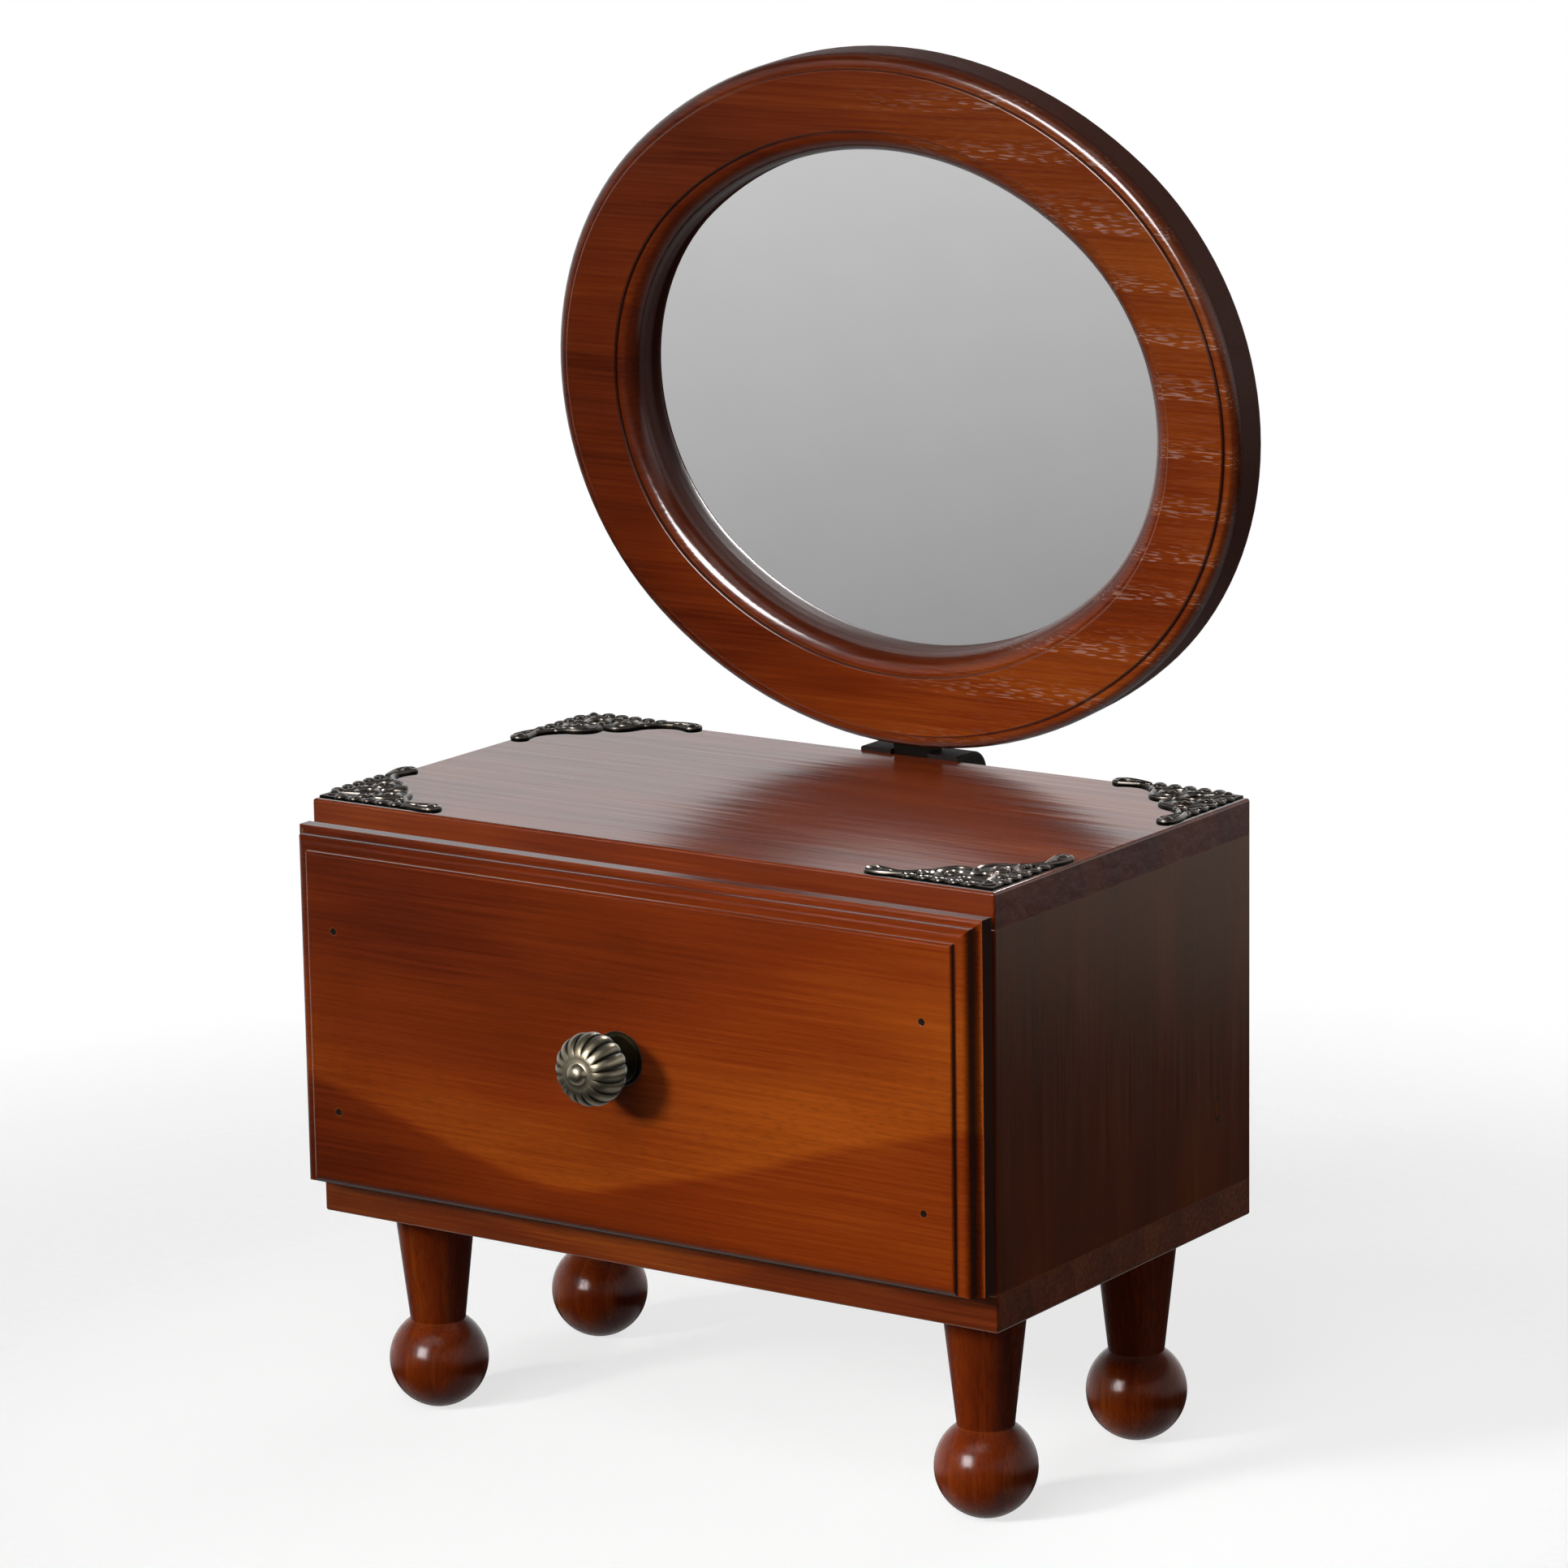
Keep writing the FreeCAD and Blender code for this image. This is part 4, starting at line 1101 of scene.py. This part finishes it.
    def stamping(self) -> Mesh:
        """One whole corner.

        Returns:
            Mesh that lies on z = 0 with its outer corner at the origin.
        """
        crown = [(0.0, -0.2), (0.9, -0.2), (1.0, 0.0)] + arc((0.0, 0.0), 1.0, 15.0, 75.0, 5) + [(0.0, 1.0)]
        bead = solid_mesh("bead", turned_shape(crown, 20))
        seat = [
            (0.0, 0.05), (self.boss_radius, 0.05), (self.boss_radius, self.boss_height - 0.3),
            (self.boss_radius - 0.3, self.boss_height), (0.0, self.boss_height),
        ]
        boss = solid_mesh("boss", turned_shape(seat, 28))
        flatten = Matrix.Diagonal((1.0, 1.0, 1.15, 1.0))
        parts = [
            (self.plate_mesh(), Matrix.Translation((0.0, 0.0, self.plate / 2 * MM))),
            (self.wire_mesh(), Matrix.Translation((0.0, 0.0, self.plate * 0.95 * MM)) @ flatten),
        ]
        for x, y, radius in self.beads():
            place = Matrix.Translation(Vector((x, y, self.plate)) * MM)
            parts.append((bead, place @ Matrix.Diagonal((radius, radius, radius * 0.8, 1.0))))
        for x, y in self.bosses():
            parts.append((boss, Matrix.Translation(Vector((x, y, 0.0)) * MM)))
        mesh = joined("filigree", parts)
        sunk = [1.0 - (point.co.z / MM - self.plate) / self.wire for point in mesh.vertices]
        depth = [self.ground * min(1.0, max(0.0, share)) for share in sunk]
        mesh.attributes[RECESS].data.foreach_set("value", depth)
        return mesh

    def build(self, finish: Material) -> None:
        """Set a stamping on each corner of the top.

        Args:
            finish: Aged brass.
        """
        stamping = self.stamping()
        low, high = (Vector(corner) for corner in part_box("top_panel"))
        inset = self.board_inset * MM
        for depth, y, along_y in (("front", low.y + inset, 1), ("rear", high.y - inset, -1)):
            for side, x, along_x in (("left", low.x + inset, 1), ("right", high.x - inset, -1)):
                place = Matrix.Translation((x, y, high.z)) @ Matrix.Diagonal((along_x, along_y, 1.0, 1.0))
                name = f"filigree_{depth}_{side}"
                node = f"corner_ornament_{depth}_{side}"
                mesh = joined(name, [(stamping, place)])
                add_piece(name, mesh, Body.CARCASS, node, finish)
        dress(finish, "ornament_pins")


@dataclass(frozen=True)
class FlutedKnob:
    """Cast brass knob: a flanged foot, a waisted neck and a lobed head with a round button at its tip."""

    foot: float = 6.8
    neck: float = 3.9
    neck_end: float = 6.0
    head: float = 9.0
    head_end: float = 17.2
    mouth: float = 3.25
    button: float = 2.6
    projection: float = 19.0
    lobes: int = 16
    lobe_depth: float = 0.085
    steps_per_lobe: int = 12

    def profile(self) -> tuple[list[Point], list[float]]:
        """Profile from the foot to the tip.

        Returns:
            Radius and height of each corner, and how much of the lobes shows there.
        """
        foot = [(0.0, 0.0), (self.foot - 0.3, 0.0)] + arc((self.foot - 0.4, 0.4), 0.4, -60.0, 60.0, 5)
        step = [(self.foot - 0.9, 1.0), (self.foot - 1.1, 1.6)]
        neck = [(self.neck + 1.1 * (1 - s) ** 2, 1.6 + 4.2 * s) for s in frange(0.2, 1.0, 7)]
        middle = (self.neck_end + self.head_end) / 2
        half = (self.head_end - self.neck_end) / 2
        head = []
        for angle in frange(-86.0, 84.0, 30):
            across = math.cos(math.radians(angle))
            height = middle + half * math.sin(math.radians(angle))
            low = self.neck if angle < 0 else self.mouth
            head.append((low + (self.head - low) * across ** 0.85, height))
        rise = self.projection - self.head_end
        seat = [(self.button + 0.25, self.head_end - 0.12)]
        turns = frange(0.0, 1.5, 9)
        tip = [(self.button * math.cos(a) ** 0.8, self.head_end + rise * math.sin(a)) for a in turns]
        plain = foot + step + neck
        shows = [min(1.0, 2.2 * math.sin(math.pi * share)) for share in frange(0.03, 0.97, len(head))]
        corners = plain + head + seat + tip + [(0.0, self.projection)]
        return corners, [0.0] * len(plain) + shows + [0.0] * (len(seat) + len(tip) + 1)

    def groove(self, turn: float) -> float:
        """How deep the lobes lie at a turn from 0 to 1: 0 on a lobe's crown, 1 between two lobes."""
        return 1.0 - math.sqrt(abs(math.cos(math.pi * turn * self.lobes)))

    def build(self, finish: Material) -> None:
        """Set the knob on the drawer front.

        Args:
            finish: Aged brass.
        """
        corners, shows = self.profile()
        steps = self.lobes * self.steps_per_lobe
        shape = turned_shape(
            corners, steps, lambda index, turn: 1.0 - self.lobe_depth * shows[index] * self.groove(turn))
        recess = [0.3]
        for (_, height), share in list(zip(corners, shows))[1:-1]:
            # Foot and neck take dark tarnish, deepened as painted shade under the head
            plain = 0.8 if height < self.neck_end + 1.0 else 0.0
            recess.extend(max(plain, share * self.groove(step / steps) ** 0.6) for step in range(steps))
        recess.append(0.0)
        low, high = (Vector(corner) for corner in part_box("drawer_knob"))
        base = Vector(((low.x + high.x) / 2, low.y + self.projection * MM, (low.z + high.z) / 2))
        place = Matrix.Translation(base) @ Matrix.Rotation(math.radians(90.0), 4, "X")
        mesh = joined("fluted_knob", [(solid_mesh("knob", shape, recess), place)])
        add_piece("fluted_knob", mesh, Body.DRAWER, "drawer_knob", finish)


@dataclass
class Drawer:
    """Drawer: a moulded front bradded to a bare box, with a knob screwed from inside."""

    # Its tone lightens to the right, a painted falloff of light
    # The front's end faces and moulding walls take a near-black painted shade, standing for the shadow in the
    # gap at its ends
    front: Wood = Wood("lacquered_hardwood_drawer_front", Grain.STANDING, **STAIN, cut=(17.0, 46.0, 0.0),
                       ring_mm=100.0, sweep_mm=29.0, wander_mm=5.0, ring_share=0.3, middle_wood=0.8,
                       late_wood=0.65, boundary_mm=2.5, fibre_share=0.3, blotch_share=0.4, painted_falloff_share=0.12,
                       pore_share=0.15, roughness=0.16, specular=0.22, face=(0.0, -1.0, 0.6),
                       painted_shade_colour="#150803", moulding_shade_share=0.0)
    sides: Wood = Wood("bare_beech_drawer_sides", Grain.FRONT_TO_BACK, **BARE, cut=(10.0, 0.0, 0.0))
    back: Wood = Wood("bare_beech_drawer_back", Grain.STANDING, **BARE, cut=(-50.0, 22.0, 0.0))
    bottom: Wood = Wood("bare_beech_drawer_bottom", Grain.LYING, **BARE, cut=(200.0, 0.0, 0.0))
    knob: FlutedKnob = FlutedKnob()
    screw: Screws = Screws("knob_screw", Body.DRAWER, Slot.STEEL, (0.0, -1.0, 0.0), Drive.CROSS, width=0.9,
                           reach=2.2, depth=1.4)

    def build(self, brass: Material, steel: Material, black: Material) -> None:
        """Dress the drawer, and add its knob and screw.

        Args:
            brass: Finish of the knob.
            steel: Finish of the screw.
            black: Finish of the brads.
        """
        dress(self.front.material(), "drawer_front")
        dress(self.sides.material(), "drawer_left_side", "drawer_right_side")
        dress(self.back.material(), "drawer_back")
        dress(self.bottom.material(), "drawer_bottom")
        dress(black, "front_brads")
        self.knob.build(brass)
        self.screw.build(steel)


@dataclass(frozen=True)
class ThumbNut:
    """Turned brass thumb nut with a straight knurl."""

    radius: float = 4.6
    length: float = 7.0
    chamfer: float = 0.8
    knurls: int = 36
    knurl_depth: float = 0.06

    def groove(self, index: int, turn: float) -> float:
        """How deep the knurl lies at a profile corner and a turn: 0 on a ridge, 1 between two ridges."""
        return math.sin(math.pi * turn * self.knurls) ** 2 if index in (2, 3) else 0.0

    def build(self, finish: Material) -> None:
        """Set the nut on the end of the tilt bolt.

        Args:
            finish: Aged brass.
        """
        profile = [
            (0.0, 0.0), (self.radius - self.chamfer, 0.0), (self.radius, self.chamfer),
            (self.radius, self.length - self.chamfer), (self.radius - self.chamfer, self.length),
            (self.radius * 0.55, self.length), (0.0, self.length),
        ]
        steps = self.knurls * 4
        shape = turned_shape(
            profile, steps, lambda index, turn: 1.0 - self.knurl_depth * self.groove(index, turn))
        recess = [0.2]
        for index in range(1, len(profile) - 1):
            recess.extend(0.7 * self.groove(index, step / steps) for step in range(steps))
        recess.append(0.2)
        low, high = (Vector(corner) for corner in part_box("pivot_thumb_nut"))
        base = Vector((low.x, (low.y + high.y) / 2, (low.z + high.z) / 2))
        place = Matrix.Translation(base) @ Matrix.Rotation(math.radians(90.0), 4, "Y")
        mesh = joined("knurled_nut", [(solid_mesh("nut", shape, recess), place)])
        add_piece("knurled_nut", mesh, Body.CARCASS, "pivot_thumb_nut", finish)


@dataclass
class TiltStand:
    """Post behind the box with the bolt on which the mirror tilts."""

    # The post is stained nearly black, partly as painted shade under the mirror
    post: Wood = Wood("near_black_shaded_hardwood_post", Grain.UPRIGHT_TURNED, **NEAR_BLACK_AND_SHADE, cut=(33.0, 7.0, 0.0),
                      ring_mm=9.0, roughness=0.55, specular=0.1, rub=0.2)
    post_screws: Screws = Screws("post_screws", Body.CARCASS, Slot.STEEL, (0.0, -1.0, 0.0), Drive.CROSS,
                                 width=0.9, reach=2.3, depth=1.2)
    bolt: Screws = Screws("pivot_bolt", Body.CARCASS, Slot.BRASS, (1.0, 0.0, 0.0), Drive.SLOT, width=1.0,
                          reach=5.0, depth=1.3)
    nut: ThumbNut = ThumbNut()

    def build(self, brass: Material, steel: Material) -> None:
        """Dress the post, and add its fasteners.

        Args:
            brass: Finish of the bolt, its washers and its nut.
            steel: Finish of the screws.
        """
        dress(self.post.material(), "support_post")
        dress(brass, "pivot_washers")
        self.post_screws.build(steel)
        self.bolt.build(brass)
        self.nut.build(brass)


@dataclass
class MirrorHead:
    """Oval mirror: moulded frame, silvered glass, hardboard back with turn clips, and its tongue."""

    lean: float = 5.0
    # Its tone lightens to the right, a painted falloff of light
    # Pale pores on the frame are painted glints of light caught in open pores, shown only from just left of the
    # middle rightwards
    # The frame's inner moulding and outer wall take painted shade where they turn from the face
    surround: Wood = Wood("lacquered_hardwood_mirror_frame", Grain.STANDING, **{**STAIN, "pore": "#9a7462"},
                          cut=(0.0, 35.0, 10.0), ring_mm=13.0, ring_share=0.08, fibre_share=0.4,
                          painted_falloff_share=0.1, pore_share=0.5, pore_bands=0.9, pores_from_mm=-10.0, roughness=0.16,
                          specular=0.5, face=(0.0, -0.9962, -0.0872))
    glass: SilveredGlass = SilveredGlass("silvered_glass", silver="#f3f3f3", bloom="#f0f0f0")
    backing: Fibreboard = Fibreboard("hardboard_backing", dark="#3a2616", light="#5a3d25")

    def build(self, steel: Material, black: Material) -> None:
        """Dress the mirror, and add its screws.

        Args:
            steel: Finish of the clips and screws.
            black: Finish of the tongue.
        """
        dress(self.surround.material(), "mirror_frame")
        dress(self.glass.material(), "mirror_glass")
        dress(self.backing.material(), "mirror_backing")
        dress(steel, "backing_clips")
        dress(black, "mirror_tongue")
        # The glass throws no bright patch on the top
        frame["nodes"]["mirror_glass"].visible_diffuse = False
        shank = tuple(Matrix.Rotation(math.radians(self.lean), 3, "X") @ Vector((0.0, -1.0, 0.0)))
        for node, depth in (("clip_screws", 0.6), ("tongue_screws", 0.7)):
            Screws(node, Body.MIRROR, Slot.STEEL, shank, Drive.CROSS, width=0.5, reach=1.2,
                   depth=depth).build(steel)


@dataclass(frozen=True)
class SoftBox:
    """Rectangular soft box that lights surfaces or shows in their polish."""

    name: str
    place: Place
    target: Place
    size: Point
    watts: float
    throw: Throw
    along: Place = (1.0, 0.0, 0.0)
    spread: float = 180.0

    def hang(self) -> None:
        """Hang the lamp with its face towards the target and its width along its direction."""
        data = bpy.data.lights.new(self.name, "AREA")
        data.shape = "RECTANGLE"
        data.size = self.size[0] * MM
        data.size_y = self.size[1] * MM
        data.energy = self.watts
        data.spread = math.radians(self.spread)
        lamp = bpy.data.objects.new(self.name, data)
        back = (Vector(self.place) - Vector(self.target)).normalized()
        rise = back.cross(Vector(self.along)).normalized()
        turn = Matrix((rise.cross(back), rise, back)).transposed()
        lamp.matrix_world = Matrix.Translation(Vector(self.place) * MM) @ turn.to_4x4()
        lamp.visible_camera = False
        lamp.visible_diffuse = self.throw is Throw.WASH
        lamp.visible_glossy = self.throw is Throw.GLEAM
        bpy.context.scene.collection.objects.link(lamp)
        LOG.info("%s: %.1f W", self.name, self.watts)


# The strip overhead lights the top and shows in it, so two lamps hang in one place
MIDDLE = (0.0, 0.0, 200.0)
OVERHEAD = {"place": (100.0, -838.0, 1075.0), "target": MIDDLE, "size": (900.0, 200.0),
            "along": (0.904, 0.348, 0.25)}
LAMPS = (
    SoftBox("front_box", (-472.0, -1181.0, 626.0), (150.0, -20.0, 70.0), (300.0, 300.0), 0.8, Throw.WASH,
            spread=35.0),
    SoftBox("front_gleam", (-197.0, -1246.0, 515.0), MIDDLE, (505.0, 505.0), 25.6, Throw.GLEAM),
    SoftBox("top_box", watts=5.2, throw=Throw.WASH, **OVERHEAD),
    SoftBox("top_gleam", watts=9.0, throw=Throw.GLEAM, **OVERHEAD),
    SoftBox("rear_box", (0.0, 1250.0, 700.0), (0.0, 60.0, 150.0), (500.0, 500.0), 6.0, Throw.WASH,
            (-1.0, 0.0, 0.0)),
)


@dataclass
class Studio:
    """White sweep, pale floor and the camera of the reference view."""

    eye: Place = (852.02, -1229.21, 491.49)
    azimuth: float = 34.51
    elevation: float = 12.33
    roll: float = -0.916
    lens: float = 143.35
    floor_radius: float = 470.0
    floor_fade: float = 180.0
    floor_depth: float = 4.0
    floor_tones: Point = (0.34, 0.36)
    floor_glow: float = 0.7
    floor_bounce: float = 0.2
    speck_mm: float = 3.0
    sweep_tilt: Place = (-0.28, -0.08, 3.5)
    sweep_level: float = 1.295
    sweep_tones: tuple[Point, ...] = ((0.2, 0.03), (0.27, 0.27), (1.0, 1.0))
    room: Place = (0.6, -0.8, 0.0)
    room_from: float = 0.35
    gloom: float = 0.9
    gloom_from: float = 0.1
    ceiling: float = 0.8
    ceiling_from: Point = (0.4, 0.55)
    ground: float = 0.42
    ground_from: Point = (-0.4, -0.6)
    glass_least: float = 0.25
    polish_least: float = 0.02
    fill: float = 0.1
    mirrored: tuple[str, ...] = (
        "mirror_frame", "mirror_glass", "mirror_backing", "mirror_tongue", "support_post",
    )

    def camera(self) -> None:
        """Stand the camera where the reference view was taken."""
        data = bpy.data.cameras.new("camera")
        data.lens = self.lens
        camera = bpy.data.objects.new("camera", data)
        turn = Matrix.Rotation(math.radians(self.azimuth), 4, "Z")
        tip = Matrix.Rotation(math.radians(90.0 - self.elevation), 4, "X")
        bank = Matrix.Rotation(math.radians(self.roll), 4, "Z")
        camera.matrix_world = Matrix.Translation(Vector(self.eye) * MM) @ turn @ tip @ bank
        bpy.context.scene.collection.objects.link(camera)
        bpy.context.scene.camera = camera

    def clear_glass(self) -> None:
        """Keep the box out of the glass, which shows the clear sweep alone."""
        shown = [frame["nodes"][name] for name in self.mirrored]
        for piece in bpy.context.scene.objects:
            if piece.type == "MESH" and piece not in shown:
                piece.visible_glossy = False

    def beyond(self, tree: Tree, value: Socket, start: float, sign: float = 1.0) -> Socket:
        """How far a value, or its negative, goes past a start; 0 before it."""
        past = weighted_sum(tree, -start, [(value, sign)])
        return add_node(tree, "Math", {0: past, 1: 0.0}, operation="MAXIMUM").outputs[0]

    def sweep(self) -> None:
        """White background; it greys towards the floor in glass, and is dim in front and overhead in polish."""
        world = bpy.data.worlds.new("studio_sweep")
        world.use_nodes = True
        tree = world.node_tree
        tree.nodes.clear()
        heading = add_node(tree, "TexCoord").outputs["Generated"]
        slope = add_node(tree, "VectorMath", {0: heading, 1: self.sweep_tilt}, operation="DOT_PRODUCT")
        facing = add_node(tree, "VectorMath", {0: heading, 1: self.room}, operation="DOT_PRODUCT")
        dark = self.beyond(tree, facing.outputs["Value"], self.room_from)
        level = weighted_sum(tree, self.sweep_level, [(slope.outputs["Value"], 1.0), (dark, -1.0)])
        axes = add_node(tree, "SeparateXYZ", {0: heading}).outputs
        below, over = (
            add_node(tree, "MapRange", {0: axes["Z"], 1: near, 2: far, 3: 0.0, 4: most}).outputs[0]
            for (near, far), most in ((self.ground_from, self.ground), (self.ceiling_from, self.ceiling))
        )
        either = add_node(tree, "Math", {0: level, 1: below}, operation="MAXIMUM").outputs[0]
        stops = [(position, grey(tone)) for position, tone in self.sweep_tones]
        graded = add_node(tree, "ValToRGB", {0: either}, stops).outputs[0]
        front = self.beyond(tree, axes["Y"], self.gloom_from, -1.0)
        dimmed = weighted_sum(tree, 0.0, [(graded, 1.0), (front, -self.gloom), (over, -1.0)])
        satin = add_node(tree, "Math", {0: dimmed, 1: self.polish_least}, operation="MAXIMUM").outputs[0]
        clear = add_node(tree, "Math", {0: graded, 1: self.glass_least}, operation="MAXIMUM").outputs[0]
        rays = add_node(tree, "LightPath").outputs
        fill, white, glass, polish = (
            add_node(tree, "Background", {"Color": colour, "Strength": strength}).outputs[0]
            for colour, strength in ((grey(1.0), self.fill), (grey(1.0), 1.0), (clear, 1.0), (satin, 1.0))
        )
        mirrored = add_node(tree, "MixShader", {0: rays["Is Singular Ray"], 1: polish, 2: glass}).outputs[0]
        seen = add_node(tree, "Math", {0: rays["Is Camera Ray"], 1: rays["Is Transmission Ray"]},
                        operation="MAXIMUM").outputs[0]
        lit = add_node(tree, "MixShader", {0: rays["Is Glossy Ray"], 1: fill, 2: mirrored}).outputs[0]
        shown = add_node(tree, "MixShader", {0: seen, 1: lit, 2: white}).outputs[0]
        add_node(tree, "OutputWorld", {"Surface": shown})
        bpy.context.scene.world = world

    def floor(self) -> None:
        """Pale painted floor that keeps the shadow and fades into the sweep."""
        rim = self.floor_radius
        under = -self.floor_depth
        mesh = solid_mesh("floor", turned_shape([(0.0, under), (rim, under), (rim, 0.0), (0.0, 0.0)], 96))
        material, tree = start_material("painted_floor")
        place = add_node(tree, "TexCoord").outputs["Object"]
        away = add_node(tree, "VectorMath", {0: place}, operation="LENGTH").outputs["Value"]
        stops = [(self.floor_fade * MM, grey(0.0)), (rim * MM * 0.98, grey(1.0))]
        fade = add_node(tree, "ValToRGB", {0: away}, stops).outputs[0]
        rays = add_node(tree, "LightPath").outputs
        unseen = add_node(tree, "Math", {0: fade, 1: rays["Is Glossy Ray"]}, operation="MAXIMUM").outputs[0]
        # Paint grain is far finer than a millimetre, drawn coarser so that it shows
        speck = add_node(tree, "TexNoise", {"Vector": place, "Scale": 1 / (self.speck_mm * MM)}).outputs[0]
        stops = [(0.3, grey(self.floor_tones[0])), (0.7, grey(self.floor_tones[1]))]
        tone = add_node(tree, "ValToRGB", {0: speck}, stops).outputs[0]
        pale = add_node(tree, "BsdfPrincipled", {
            "Base Color": tone, "Roughness": 0.9, "Specular IOR Level": 0.1, "Emission Color": grey(1.0),
            "Emission Strength": self.floor_glow,
        }).outputs[0]
        shade = add_node(tree, "BsdfDiffuse", {"Color": grey(self.floor_bounce)}).outputs[0]
        paint = add_node(tree, "MixShader", {0: rays["Is Camera Ray"], 1: shade, 2: pale}).outputs[0]
        clear = add_node(tree, "BsdfTransparent").outputs[0]
        blend = add_node(tree, "MixShader", {0: unseen, 1: paint, 2: clear}).outputs[0]
        add_node(tree, "OutputMaterial", {"Surface": blend})
        mesh.materials.append(material)
        floor = bpy.data.objects.new("floor", mesh)
        bpy.context.scene.collection.objects.link(floor)

    def build(self) -> None:
        """Set the stage, the lamps and the camera."""
        self.floor()
        self.sweep()
        for lamp in LAMPS:
            lamp.hang()
        self.camera()
        self.clear_glass()


def main() -> None:
    """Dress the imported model, add the ornament and set the studio."""
    logging.basicConfig(level=logging.INFO, format="%(name)s: %(message)s")
    bpy.context.scene.view_settings.view_transform = "Standard"
    # Cast brass, chemically darkened and rubbed back: grey-gold crowns over black-brown hollows
    brass = Metal("darkened_brass", bright="#8f8672", tarnish="#18140a", roughness=0.24).material()
    # Thin brass sheet, stamped and browned all over: dull crowns, nearly black between them
    stamped = Metal("browned_brass", bright="#78716a", tarnish="#0c0906", roughness=0.14, grit_mm=0.7,
                    cloud_mm=3.0).material()
    # Zinc-plated steel: a warm grey with cloudy dull patches
    steel = Metal("zinc_plated_steel", bright="#b9b4a4", tarnish="#4c4a44", roughness=0.3,
                  cloud_share=0.5).material()
    # Steel blackened in oil: near black with a dull sheen
    black = Metal("blackened_steel", bright="#1c1815", tarnish="#080706", roughness=0.4,
                  cloud_share=0.6).material()
    Carcass().dress()
    FiligreeCorners().build(stamped)
    Drawer().build(brass, steel, black)
    TiltStand().build(stamped, steel)
    MirrorHead().build(steel, black)
    Studio().build()


if __name__ == "__main__":
    main()
